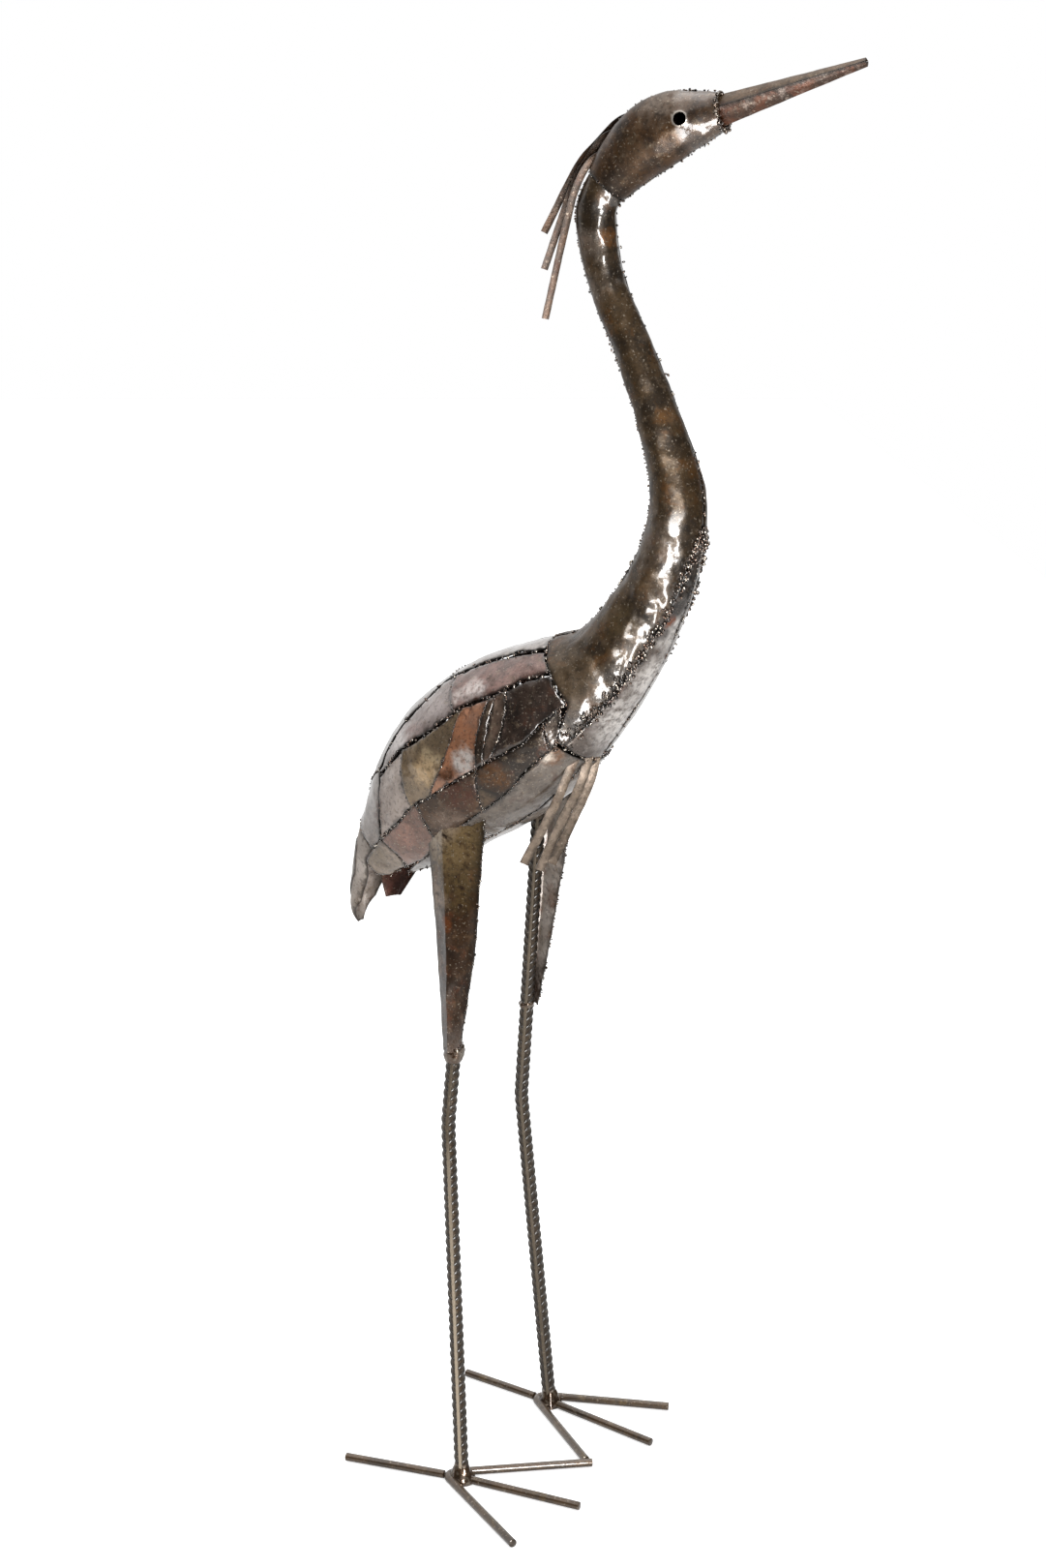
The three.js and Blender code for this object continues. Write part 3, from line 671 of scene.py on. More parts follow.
@dataclass(frozen=True)
class Plate:
    """Plate hand-cut from sheet and hammered to the form it lies on.

    Its outline gives station and angle for places from 0 to 1 along and across it. It
    is dull between two stations, by at least matt elsewhere, and by matt_back on top.
    """

    name: str
    loft: Loft
    outline: Outline
    finish: SteelFinish
    slot: str
    gaps: Gaps = Gaps()
    hammering: Hammering = Hammering()
    lift: float = 0.0
    flare: float = 0.7
    hole: tuple[float, float, float] | None = None
    puckers: tuple[Pucker, ...] = ()
    lap: float = 0.0
    dull: tuple[float, float] = (0.0, 0.0)
    matt: float = 0.0
    matt_back: float = 0.0

    def at(self, s: Array, r: Array) -> Array:
        """Points of the plate before it is hammered."""
        return self.loft.skin(*self.outline(s, r))

    def edge(self, side: str, steps: int = 60) -> Array:
        """Points along one edge.

        Args:
            side: Name of the edge, front, rear, upper or lower.
            steps: Number of points.
        Returns:
            The points before the plate is hammered.
        """
        u = np.linspace(0, 1, steps)
        full = np.full(steps, 1.0 if side in ("rear", "lower") else 0.0)
        return self.at(full, u) if side in ("front", "rear") else self.at(u, full)

    @staticmethod
    def steps(length: float) -> Array:
        """Places from 0 to 1 along a length, the first and last row close to the ends."""
        inner = np.linspace(EDGE_ROUND / length, 1 - EDGE_ROUND / length, max(3, round(length / GRID)))
        return np.concatenate([[0.0], inner, [1.0]])

    def trim(self, side: str, runs: Array, places: Array) -> Array:
        """Share of the plate that is cut off raggedly along one edge.

        Args:
            side: Name of the edge.
            runs: Size of the plate at right angles to the edge, at each place.
            places: Places from 0 to 1 along the edge.
        Returns:
            The share at each place.
        """
        line = self.edge(side, 80)
        seed = seed_of(self.name)
        rough = ripple(line, CUT_WAVES[0], seed) * 0.7 + ripple(line, CUT_WAVES[1], seed + 5)
        rough = np.interp(places, np.linspace(0, 1, len(line)), rough)
        return np.clip((getattr(self.gaps, side) + self.gaps.ragged * rough) / runs, -0.2, 0.42)

    def shell(self) -> Shell:
        """The hammered plate.

        Returns:
            A closed sheet.
        """
        coarse = np.linspace(0, 1, 13)
        net = self.at(*np.meshgrid(coarse, coarse, indexing="ij"))
        length, width = (np.linalg.norm(np.diff(net, axis=k), axis=-1).sum(k) for k in (0, 1))
        s, r = np.meshgrid(self.steps(length.max()), self.steps(width.max()), indexing="ij")
        seed = seed_of(self.name)
        long, wide = np.interp(r[0], coarse, length), np.interp(s[:, 0], coarse, width)
        front, rear = (self.trim(side, long, r[0]) for side in ("front", "rear"))
        upper, lower = (self.trim(side, wide, s[:, 0]) for side in ("upper", "lower"))
        u = front + (1 - front - rear) * s
        v = upper[:, None] + (1 - upper - lower)[:, None] * r
        skin = self.at(u, v)
        rim = np.minimum(np.minimum(s, 1 - s) * long[None, :], np.minimum(r, 1 - r) * wide[:, None])
        normal = unit(np.cross(np.gradient(skin, axis=0), np.gradient(skin, axis=1)))
        station, turn = self.outline(u, v)
        normal *= np.where(np.sum(normal * (skin - self.loft.centre(station)), -1) < 0, -1.0, 1.0)[..., None]

        # Hammer marks fade to the edge, which waves, is rounded off and laps the next plate
        near = np.clip(1 - rim / EDGE_BAND, 0, 1) ** 2
        height = self.hammering.height(skin, seed) * (1 - 0.45 * near)
        height += self.lift + self.flare * near * ripple(skin, 24.0, seed + 11)
        height -= EDGE_DROP * np.clip(1 - rim / EDGE_ROUND, 0, 1)
        height += sum(p.height(skin, seed) for p in self.puckers)
        height += self.lap * np.clip(1 - (1 - s) * long[None, :] / LAP_BAND, 0, 1) ** 2
        keep = bare_and_sheen = None
        if self.hole:
            skin, keep = self.drill(skin)
            x, z, radius = self.hole
            reach = np.hypot(skin[..., 0] - x, skin[..., 2] - z)
            # Round the hole a raised burr, with a pale rim painted along it as a highlight
            height += LIP_HEIGHT * np.clip(1 - (reach - radius) / LIP_WIDTH, 0, 1)
            bare_and_sheen = 0.7 * np.clip(1 - (reach - radius) / LIP_SHEEN, 0, 1)
        dull = np.clip(np.minimum(station - self.dull[0], self.dull[1] - station) * 3, self.matt, 1)
        dull = np.maximum(dull, self.matt_back * np.clip((BACK_ENDS - np.abs(turn)) / BACK_FADE, 0, 1))
        outer = skin + normal * height[..., None]
        return sheet_shell(outer, outer - normal * SHEET, rim, keep, dull, bare_and_sheen)

    def drill(self, skin: Array) -> tuple[Array, Array]:
        """Opens a round hole, seen from the side.

        Args:
            skin: Grid of the plate.
        Returns:
            The grid drawn back to the hole's edge, and which cells are left.
        """
        x, z, radius = self.hole
        away = np.stack([skin[..., 0] - x, skin[..., 2] - z], -1)
        reach = np.linalg.norm(away, axis=-1)
        corners = (reach[:-1, :-1], reach[1:, :-1], reach[:-1, 1:], reach[1:, 1:])
        keep = ~(np.sum([c < radius for c in corners], axis=0) >= 3)
        close = reach < radius + 1.2
        pushed = skin.copy()
        scale = radius / np.maximum(reach, 1e-6)
        pushed[..., 0] = np.where(close, x + away[..., 0] * scale, skin[..., 0])
        pushed[..., 2] = np.where(close, z + away[..., 1] * scale, skin[..., 2])
        return pushed, keep

    def build(self) -> None:
        """Makes the plate and hangs it on the statue."""
        add_piece(f"{self.name}_steel", self.shell(), self.finish, self.slot, self.name)


# ---------------------------------------------------------------- node trees and welds


@dataclass(frozen=True)
class LineTree:
    """Geometry Nodes tree that sets copies of a thing at even steps along lines."""

    name: str
    numbers: tuple[str, ...]

    def lay(self, tree: Tree, given: Any, steps: Node) -> Node:
        """Adds the nodes that set the copies on the steps.

        Args:
            tree: The node tree.
            given: Outputs of its group input.
            steps: Node of the line cut into steps.
        Returns:
            Node of the copies.
        """
        raise NotImplementedError

    def tree(self) -> Tree:
        """The node tree.

        Returns:
            The tree, the same one each time.
        """
        tree = bpy.data.node_groups.get(self.name)
        if tree:
            return tree
        tree = bpy.data.node_groups.new(self.name, "GeometryNodeTree")
        kinds = {label: "Int" if label == "Seed" else "Float" for label in self.numbers}
        for label, kind in {"Geometry": "Geometry", **kinds, "Material": "Material"}.items():
            tree.interface.new_socket(label, in_out="INPUT", socket_type=f"NodeSocket{kind}")
        tree.interface.new_socket("Geometry", in_out="OUTPUT", socket_type="NodeSocketGeometry")
        given = add_node(tree, "NodeGroupInput").outputs
        line = add_node(tree, "GeometryNodeMeshToCurve", {"Mesh": given["Geometry"]})
        steps = add_node(tree, "GeometryNodeResampleCurve", {
            "Curve": line, "Length": given["Pitch"]}, mode="LENGTH")
        real = add_node(tree, "GeometryNodeRealizeInstances", (self.lay(tree, given, steps),))
        smooth = add_node(tree, "GeometryNodeSetShadeSmooth", (real,))
        dressed = add_node(tree, "GeometryNodeSetMaterial", {
            "Geometry": smooth, "Material": given["Material"]})
        add_node(tree, "NodeGroupOutput", (dressed,))
        return tree

    def grow(self, name: str, lines: list[Array], inputs: dict[str, Any]) -> Object:
        """Runs the tree on lines and keeps the result as a plain mesh.

        Args:
            name: Name of the new object.
            lines: Points of each line, in mm.
            inputs: Value of each named input.
        Returns:
            The object, at the origin.
        """
        edges, start = [], 0
        for line in lines:
            edges += [(start + i, start + i + 1) for i in range(len(line) - 1)]
            start += len(line)
        source = add_object(f"{name}_source", make_mesh(name, np.vstack(lines), edges, []))
        modifier = source.modifiers.new("nodes", "NODES")
        modifier.node_group = self.tree()
        for item in modifier.node_group.interface.items_tree:
            if item.item_type == "SOCKET" and item.in_out == "INPUT" and item.name in inputs:
                modifier[item.identifier] = inputs[item.name]
        evaluated = source.evaluated_get(bpy.context.evaluated_depsgraph_get())
        made = bpy.data.meshes.new_from_object(evaluated)
        source.modifiers.clear()
        bpy.data.objects.remove(source)
        return add_object(name, made)


@dataclass(frozen=True)
class BeadTree(LineTree):
    """Lays beads of weld metal, scattered a little beside the line."""

    name: str = "weld_beads"
    numbers: tuple[str, ...] = ("Pitch", "Bead radius", "Spread", "Coverage", "Seed")

    def lay(self, tree: Tree, given: Any, steps: Node) -> Node:
        """Adds the nodes that set the beads on the steps.

        Args:
            tree: The node tree.
            given: Outputs of its group input.
            steps: Node of the seams cut into steps.
        Returns:
            Node of the beads.
        """
        spread = given["Spread"]
        low = add_node(tree, "Math", (spread, -1.0), operation="MULTIPLY")
        stray, turn, size = (
            add_node(tree, "FunctionNodeRandomValue", {0: a, 1: b, "Seed": seed}, data_type="FLOAT_VECTOR")
            for a, b, seed in ((low, spread, given["Seed"]), ((0.0,) * 3, (6.28,) * 3, 7),
                               ((0.55, 0.55, 0.5), (1.7, 1.4, 1.2), 11)))
        moved = add_node(tree, "GeometryNodeSetPosition", {"Geometry": steps, "Offset": stray})
        chosen = add_node(tree, "FunctionNodeRandomValue", {
            "Probability": given["Coverage"], "Seed": 5}, data_type="BOOLEAN")
        bead = add_node(tree, "GeometryNodeMeshUVSphere", {
            "Segments": 8, "Rings": 5, "Radius": given["Bead radius"]})
        return add_node(tree, "GeometryNodeInstanceOnPoints", {
            "Points": moved, "Selection": chosen, "Instance": bead, "Rotation": turn, "Scale": size})


@dataclass(frozen=True)
class RibTree(LineTree):
    """Sets slanted crescent ribs along both sides of a bar."""

    name: str = "bar_ribs"
    numbers: tuple[str, ...] = ("Pitch", "Bar radius", "Rib height", "Rib turn", "Rib rise")
    sweep: float = 152.0  # degrees of the bar's girth that a rib takes
    end_height: float = 0.25  # height of a rib's ends, as a share of its middle

    def lay(self, tree: Tree, given: Any, steps: Node) -> Node:
        """Adds the nodes that set the ribs on the steps.

        Args:
            tree: The node tree.
            given: Outputs of its group input.
            steps: Node of the bar's axis cut into steps.
        Returns:
            Node of the ribs.
        """
        arc = add_node(tree, "GeometryNodeCurveArc", {
            "Resolution": 11, "Radius": given["Bar radius"], "Start Angle": math.radians(-self.sweep / 2),
            "Sweep Angle": math.radians(self.sweep)})
        place = add_node(tree, "GeometryNodeSplineParameter").outputs["Factor"]
        bow = add_node(tree, "Math", (add_node(tree, "Math", (place, math.pi), operation="MULTIPLY"),),
                       operation="SINE")
        ends = self.end_height
        swell = add_node(tree, "Math", (bow, 1 - ends, ends), operation="MULTIPLY_ADD")
        half = add_node(tree, "Math", (place, 0.5), operation="SUBTRACT")
        profile = add_node(tree, "GeometryNodeCurvePrimitiveCircle", {
            "Resolution": 5, "Radius": given["Rib height"]})
        way = add_node(tree, "GeometryNodeInputTangent")
        upright = add_node(tree, "FunctionNodeAlignRotationToVector", {"Vector": way}, axis="Z")
        both = add_node(tree, "GeometryNodeJoinGeometry")
        for turn, climb in ((0.0, 1.0), (math.pi, -1.0)):
            rise = add_node(tree, "Math", (given["Rib rise"], climb), operation="MULTIPLY")
            lift = add_node(tree, "Math", (half, rise), operation="MULTIPLY")
            climbing = add_node(tree, "GeometryNodeSetPosition", {
                "Geometry": arc, "Offset": add_node(tree, "CombineXYZ", {"Z": lift})})
            tapered = add_node(tree, "GeometryNodeSetCurveRadius", {0: climbing, "Radius": swell})
            rib = add_node(tree, "GeometryNodeCurveToMesh", {
                "Curve": tapered, "Profile Curve": profile, "Fill Caps": True})
            angle = add_node(tree, "Math", (given["Rib turn"], turn), operation="ADD")
            turned = add_node(tree, "GeometryNodeTransform", {
                "Geometry": rib, "Rotation": add_node(tree, "CombineXYZ", {"Z": angle})})
            row = add_node(tree, "GeometryNodeInstanceOnPoints", {
                "Points": steps, "Instance": turned, "Rotation": upright})
            tree.links.new(row.outputs[0], both.inputs[0])
        return both


@dataclass(frozen=True)
class WeldSize:
    """Sizes of one kind of weld, in mm."""

    pitch: float
    radius: float
    spread: float
    coverage: float


class Weld(Enum):
    """Kinds of weld along the seams."""

    STITCH = WeldSize(2.5, 1.05, 0.9, 0.82)
    TACK = WeldSize(3.6, 1.4, 1.9, 0.6)
    HEAVY = WeldSize(2.6, 1.7, 2.6, 0.75)
    COLLAR = WeldSize(1.7, 2.1, 1.2, 0.97)


@dataclass
class WeldShop:
    """Collects the welded seams of an assembly and lays beads along them."""

    name: str
    slot: str
    seams: list[tuple[Array, Weld]] = field(default_factory=list)

    def add(self, line: Array, weld: Weld, raise_by: float = 0.0, centre: Array | None = None) -> None:
        """Adds a seam.

        Args:
            line: Points of the seam.
            weld: Kind of weld.
            raise_by: How far above the line the beads sit, in mm.
            centre: Points that they are raised away from.
        """
        if centre is not None:
            line = line + unit(line - centre) * raise_by
        self.seams.append((line, weld))

    def build(self) -> None:
        """Lays all beads, one piece for each kind of weld, and hangs them on the statue."""
        for weld in Weld:
            lines = [line for line, kind in self.seams if kind is weld]
            if not lines:
                continue
            name = f"{self.name}_{weld.name.lower()}_welds"
            size = weld.value
            finish = BROWN_WELD if weld is Weld.COLLAR else SpatterFinish()
            beads = BeadTree().grow(name, lines, {
                "Pitch": size.pitch * MM, "Bead radius": size.radius * MM, "Spread": size.spread * MM,
                "Coverage": size.coverage, "Seed": int(seed_of(name)), "Material": finish.material()})
            install(beads, self.slot)


# ---------------------------------------------------------------- head and bill


@dataclass(frozen=True)
class Head:
    """Head of two hammered halves with an eye hole in each."""

    loft: Loft = Loft((
        (105, 1239, 21, 19), (121.5, 1257, 26.5, 22.5), (143, 1275, 31, 25.5), (168, 1287.5, 29.5, 25),
        (193, 1294, 23, 19.5), (208, 1297.5, 18.5, 14.5), (216, 1299, 15.8, 12.2)))
    eye: tuple[float, float] = (3.66, 92.0)  # station and angle
    eye_radius: float = 5.8
    ring_welds: tuple = ((5.93, Weld.COLLAR), (0.05, Weld.TACK))  # stations, at the bill and the neck
    puckers: tuple[Pucker, ...] = (Pucker((200, -18, 1284), (30, 14, 10), 9.0, 0.35),)
    # The pale crown patch is partly the steel's tone and partly a painted reflection of the overhead light;
    # the darkest patch, low on the throat side, is painted shade under the head
    finish: SteelFinish = steel(
        "brown_scale_head", "57402c", "2f2218", Patch((165, -15, 1309), 22, "75675b", 0.7),
        Patch((138, -23, 1270), 15, "2f2619", 0.5), Patch((122, -20, 1238), 20, "1f150b", 0.75),
        rust="4a3014", rust_share=0.25, metallic=0.3, roughness=0.4)

    def build(self) -> None:
        """Makes the halves and welds them over the crown, under the chin and to the neck."""
        welds = WeldShop("head", "brown_sheet")
        eye = self.loft.skin(self.eye[0], -self.eye[1])
        middle = self.loft.centre(np.linspace(0, self.loft.last, 60))
        for side, sign in SIDES:
            plate = Plate(
                f"head_{side}_half", self.loft, lambda s, r, k=sign: (s * self.loft.last, k * mix(0, 180, r)),
                self.finish, "brown_sheet", Gaps(0.2, 0.2, 0.2, 0.2, 0.3), Hammering(17.0, 0.4, 0.6),
                hole=(float(eye[0]), float(eye[2]), self.eye_radius), puckers=self.puckers,
                dull=(-1.0, 3.72), matt=0.2)
            plate.build()
            if side == "right":
                welds.add(plate.edge("upper"), Weld.STITCH, 0.4, middle)
                welds.add(plate.edge("lower"), Weld.STITCH, 0.2, middle)
        for station, weld in self.ring_welds:
            welds.add(self.loft.skin(station, np.linspace(0, 360, 60)), weld)
        welds.build()


@dataclass(frozen=True)
class Bill:
    """Bill of two folded sheets that meet at a ridge on each side."""

    base: tuple[float, float] = (213, 1299.5)
    tip: tuple[float, float] = (346, 1337)
    base_depth: float = 13.4
    base_width: float = 10.0
    tip_size: float = 3.8
    ridge_lift: float = 0.18
    cheek_out: float = 0.55
    cheek_drop: float = 0.44
    open_joint: float = 0.4
    wave: float = 0.35
    matt: float = 0.8
    grey: SteelFinish = steel(
        "grey_scale_bill", "64503e", "4a3927", rust_share=0.12, blotch=30.0, metallic=0.4)
    copper: SteelFinish = steel(
        "red_rust_bill", "48301f", "301e13", fleck="a8968a", fleck_share=0.2, rust="5c3018", rust_share=0.3,
        metallic=0.4)

    def face(self, up: int, sheet: float, s: Array, side: Array) -> Array:
        """Points of one face of a folded sheet.

        Args:
            up: 1 for the upper sheet, -1 for the lower one.
            sheet: Depth below the outer face.
            s: Places from the base to the tip.
            side: Places across, -1 to 1.
        Returns:
            Array of points.
        """
        base, tip = np.array(self.base), np.array(self.tip)
        axis = unit(tip - base)
        depth = mix(self.base_depth, self.tip_size, s)
        width = mix(self.base_width, self.tip_size, s)
        wall = np.minimum(sheet, width * 0.45)
        ridge = depth * self.ridge_lift + up * self.open_joint / 2
        crown = ridge + (up * depth - ridge) * (1 - 1.5 * wall / depth)
        a = np.abs(side)
        fold = np.interp(a, [0, 0.5, 1], [0, self.cheek_out, 1])
        height = crown + (ridge - crown) * np.interp(a, [0, 0.5, 1], [0, self.cheek_drop, 1])
        x = mix(base[0], tip[0], s) - axis[1] * height
        z = mix(base[1], tip[1], s) + axis[0] * height
        return np.stack([x, np.sign(side) * fold * (width - wall), z], -1)

    def build(self) -> None:
        """Makes both sheets, hammered in a little between base and tip."""
        s, side = np.meshgrid(np.linspace(0, 1, 58), np.linspace(-1, 1, 17), indexing="ij")
        rim = np.minimum(1 - np.abs(side), 0.9) * 12
        out = np.array([-0.265, 0.0, 0.964])
        for name, up, finish, slot in (
                ("upper", 1, self.grey, "grey_sheet"), ("lower", -1, self.copper, "copper_sheet")):
            outer, inner = (self.face(up, depth, s, side) for depth in (0.0, SHEET))
            wave = np.abs(self.wave * ripple(outer, 20.0, up) * np.sin(s * math.pi))[..., None] * out * up
            shell = sheet_shell(outer - wave, inner - wave, rim, dull=np.full(s.shape, self.matt))
            add_piece(f"bill_{name}_sheet_steel", shell, finish, slot, f"bill_{name}_sheet", sharp=24.0)


@dataclass(frozen=True)
class Strip:
    """Loose strip of sheet, fixed at its root."""

    name: str
    points: tuple[Point, ...]
    width: float
    finish: SteelFinish
    slot: str
    turn: float = 60.0
    crown: float = 0.35

    def build(self, skin: BVHTree) -> None:
        """Makes the strip.

        Args:
            skin: Surface that its root is cut back to.
        """
        last = len(self.points) - 1
        line = cubic(self.points, np.linspace(0, last, last * 16 + 1))[0]
        inside = [all(skin.ray_cast(Vector(p), Vector((0, 0.03, way)))[0] for way in (1, -1)) for p in line]
        line = line[max(0, sum(inside) - 2):]
        along = unit(np.gradient(line, axis=0))
        flat = unit(np.cross(along, (0.0, 1.0, 0.0)))
        turn = math.radians(self.turn)
        across = np.array([0.0, math.cos(turn), 0.0]) + flat * math.sin(turn)
        out = unit(np.cross(across, along))[:, None]
        side = np.linspace(-1, 1, 5)
        wide = self.width / 2 * (1 + 0.05 * ripple(line, 9.0, seed_of(self.name)))
        middle = line[:, None] + across[:, None] * (side[None, :] * wide[:, None])[..., None]
        middle = middle + self.crown * (1 - side**2)[None, :, None] * out
        rim = np.tile(np.minimum((1 - np.abs(side)) * self.width / 2, 9.0) + 1.2, (len(line), 1))
        half = out * (SHEET / 2)
        shell = sheet_shell(middle + half, middle - half, rim, dull=np.ones(rim.shape))
        add_piece(f"{self.name}_steel", shell, self.finish, self.slot, self.name)


CREST_FINISH = steel("copper_scale_crest", "4d3727", "34251a", fleck="7d6a5b", metallic=0.4, roughness=0.45)
PLUME_FINISH = steel("grey_scale_plume", "857668", "6b5d50", rust_share=0.05, metallic=0.4, roughness=0.45)
CREST = tuple(Strip(f"crest_strip_{i}", points, 6.5, CREST_FINISH, slot) for i, (slot, points) in enumerate((
    ("copper_sheet", ((128, 1, 1297), (112, 3, 1291), (92, 5, 1274), (70, 8, 1253), (34, 12, 1196))),
    ("brown_sheet", ((116, -1, 1285), (100, -1, 1277), (87, 0, 1262), (70, 0, 1236), (41, 0, 1164))),
    ("brown_sheet", ((105, -7, 1266), (90, -8, 1256), (78, -9, 1235), (69, -10, 1204), (50, -14, 1121)))), 1))
PLUMES = tuple(Strip(f"breast_plume_{i}", line, 8.5, PLUME_FINISH, "grey_sheet") for i, line in enumerate((
    ((98, -30, 738), (85, -35, 706), (74, -36, 680), (39.5, -34, 618)),
    ((103, -18, 738), (93, -21, 700), (73, -20, 662), (47, -18, 609)),
    ((102.5, -4, 738), (95, -6, 700), (72.5, -5, 652), (51.5, -2, 612))), 1))


# ---------------------------------------------------------------- neck, breast and body

FORM = Loft((
    (106, 1241, 18, 16.3), (93.5, 1213, 18.7, 16.5), (104, 1157, 16.5, 16), (131, 1098, 17, 17),
    (157, 1039, 19.5, 19.5), (177, 973, 24.5, 24.5), (172.5, 918, 29, 29), (148.8, 862.7, 34.7, 36),
    (112.5, 810.5, 43, 50), (60.2, 768.8, 65.7, 66), (6, 731, 79, 77), (-47.6, 692.5, 75.9, 77),
    (-92.5, 647, 60.5, 60), (-128, 608, 38, 38), (-152, 573, 20.5, 20), (-165.5, 541, 11, 14),
    (-164.5, 521.5, 4.8, 6.5)))


@dataclass(frozen=True)
class Neck:
    """Neck of two hammered half shells, and the two plates of the breast."""

    neck_end: float = 8.46
    slant_from: float = 0.77
    slant_width: float = 0.17
    slant_power: float = 1.2
    weld_rows: tuple[float, ...] = (-9.0, -6.0, -3.0, 0.0, 3.0)
    breast_top: float = 5.46
    breast_end: float = 8.9
    breast_seam: tuple = ((5.46, 176), (6.2, 148), (7.3, 137), (8.46, 133), (8.9, 130))
    back_seam: tuple = ((0, 12), (3, 24), (6.5, 26), (8.46, 6))
    throat_points: int = 95  # of the 150 along the throat seam, those above the breast
    throat_seam: tuple = ((0, 190), (2, 204), (4, 202), (5.46, 180))
    neck_finish: SteelFinish = steel(
        "brown_scale_neck", "4d3c28", "2d2318", Patch((111, -6, 1192), 9, "8a5a2c", 0.7),
        Patch((90, -15, 1189), 14, "6f6257", 0.7), Patch((97, -13, 1147), 15, "6b5f54", 0.6),
        Patch((171, -13, 1040), 10, "6d4a26", 0.6), Patch((165, -26, 929), 22, "5b5047", 0.6),
        Patch((140, -37, 859), 16, "4c3f2a", 0.6), Patch((92, -46, 800), 28, "6b5a47", 0.6),
        rust="553718", rust_share=0.18, fleck="6a5a48", metallic=0.25, roughness=0.36)
    # The three near-white patches along the front edge are painted reflections of the bright floor, the dark
    # ones by the neck seam are painted dark reflections, the two rust-red ones are rust
    breast_finish: SteelFinish = steel(
        "grey_scale_breast", "6f635a", "4e423a", Patch((124, -6, 766), 34, "e6dfd9", 0.9),
        Patch((156, -5, 804), 24, "e6dfd9", 0.9), Patch((179, -3, 846), 20, "e6dfd9", 0.9),
        Patch((187, -17, 885), 26, "1f1811", 0.95), Patch((174, -24, 852), 13, "2f2620", 0.85),
        Patch((158, -31, 824), 13, "4a3d33", 0.8), Patch((180, -17, 859), 8, "7a3f18", 1.0),
        Patch((127, -37, 792), 11, "7a3f18", 1.0), rust_share=0.06, fleck="a39a92", blotch=40.0)
    puckers: tuple[Pucker, ...] = (
        Pucker((182, -18, 935), (20, 14, 34), 20.0, 1.0), Pucker((166, -26, 880), (24, 12, 40), 19.0, 1.8),
        Pucker((128, -40, 815), (30, 14, 36), 20.0, 1.8), Pucker((150, -34, 850), (40, 14, 70), 7.0, 0.4))

    def neck_outline(self, sign: int) -> Outline:
        """Outline of a half shell of the neck, its end slanted at the shoulder.

        Args:
            sign: 1 for the left half, -1 for the right one.
        Returns:
            The outline.
        """
        def outline(s: Array, r: Array) -> tuple[Array, Array]:
            """Station and angle on the half shell.

            Args:
                s: Places along it.
                r: Places across it.
            Returns:
                Station and angle.
            """
            slant = np.clip((r - self.slant_from) / self.slant_width, 0, 1) ** self.slant_power
            station = s * mix(self.neck_end, self.breast_end, slant)
            throat = sign * 180 + 180 - along_pairs(self.throat_seam, station)
            edge = np.where(station < self.breast_top, throat, sign * along_pairs(self.breast_seam, station))
            back = -along_pairs(self.back_seam, station)
            return station, back + (edge - back) * r
        return outline

    def breast_outline(self, sign: int) -> Outline:
        """Outline of a breast plate.

        Args:
            sign: 1 for the left plate, -1 for the right one.
        Returns:
            The outline.
        """
        def outline(s: Array, r: Array) -> tuple[Array, Array]:
            """Station and angle on the breast plate.

            Args:
                s: Places along it.
                r: Places across it.
            Returns:
                Station and angle.
            """
            station = mix(self.breast_top + 0.05, self.breast_end, s)
            seam = along_pairs(self.breast_seam, station)
            return station, sign * (seam + (180 - seam) * r)
        return outline

    def build(self) -> None:
        """Makes the shells and plates and welds their seams."""
        welds = WeldShop("neck", "brown_sheet")
        for side, sign in SIDES:
            neck = Plate(
                f"neck_{side}_half", FORM, self.neck_outline(sign), self.neck_finish, "brown_sheet",
                Gaps(0.2, 0.5, 0.3, 0.3, 0.5), Hammering(19.0, 0.6, 0.85), puckers=self.puckers,
                dull=(1.95, 5.55), matt_back=0.85)
            breast = Plate(
                f"breast_{side}_plate", FORM, self.breast_outline(sign), self.breast_finish, "grey_sheet",
                Gaps(0.3, 0.3, 0.3, 0.3, 0.4), Hammering(30.0, 0.4, 0.9), puckers=self.puckers[1:3], matt=0.3)
            neck.build()
            breast.build()
            along = np.linspace(self.breast_top + 0.1, self.breast_end, 120)
            for turn in self.weld_rows:
                line = FORM.skin(along, sign * (along_pairs(self.breast_seam, along) + turn))
                welds.add(line, Weld.HEAVY, 0.4, FORM.centre(along))
            for plate in (breast, neck):
                welds.add(plate.edge("rear"), Weld.STITCH)
            if side == "right":
                welds.add(neck.edge("upper", 150), Weld.STITCH)
                welds.add(neck.edge("lower", 150)[:self.throat_points], Weld.TACK)
                welds.add(breast.edge("lower", 90), Weld.STITCH)
        welds.build()


# Angle of each seam line of the body along its stations
SEAMS = {
    "back": ((8.46, 0), (13, 0)),
    "ridge": ((8.46, 37), (8.9, 29), (9.5, 24.5), (10.25, 24), (10.7, 33), (11.25, 41), (11.65, 48)),
    "wing": ((8.46, 67), (8.9, 63), (9.5, 62.5), (9.9, 60), (10.2, 62), (10.6, 63), (11.1, 58), (11.6, 55)),
    "flank": ((8.8, 103), (9.3, 107), (9.8, 103), (11, 101), (11.4, 97), (12, 95.5), (12.5, 92), (13.35, 86)),
    "belly": ((8.9, 124.5), (9.5, 124.5), (9.9, 129), (11.3, 133), (11.8, 136), (12.4, 141), (13.45, 139)),
    "keel": ((8.9, 161), (13.1, 163)),
    "rump": ((11.65, 48), (12.9, 0)),
}
LAPPED = ("ridge", "wing")  # tacked seams, below which a plate's rear end stands up more


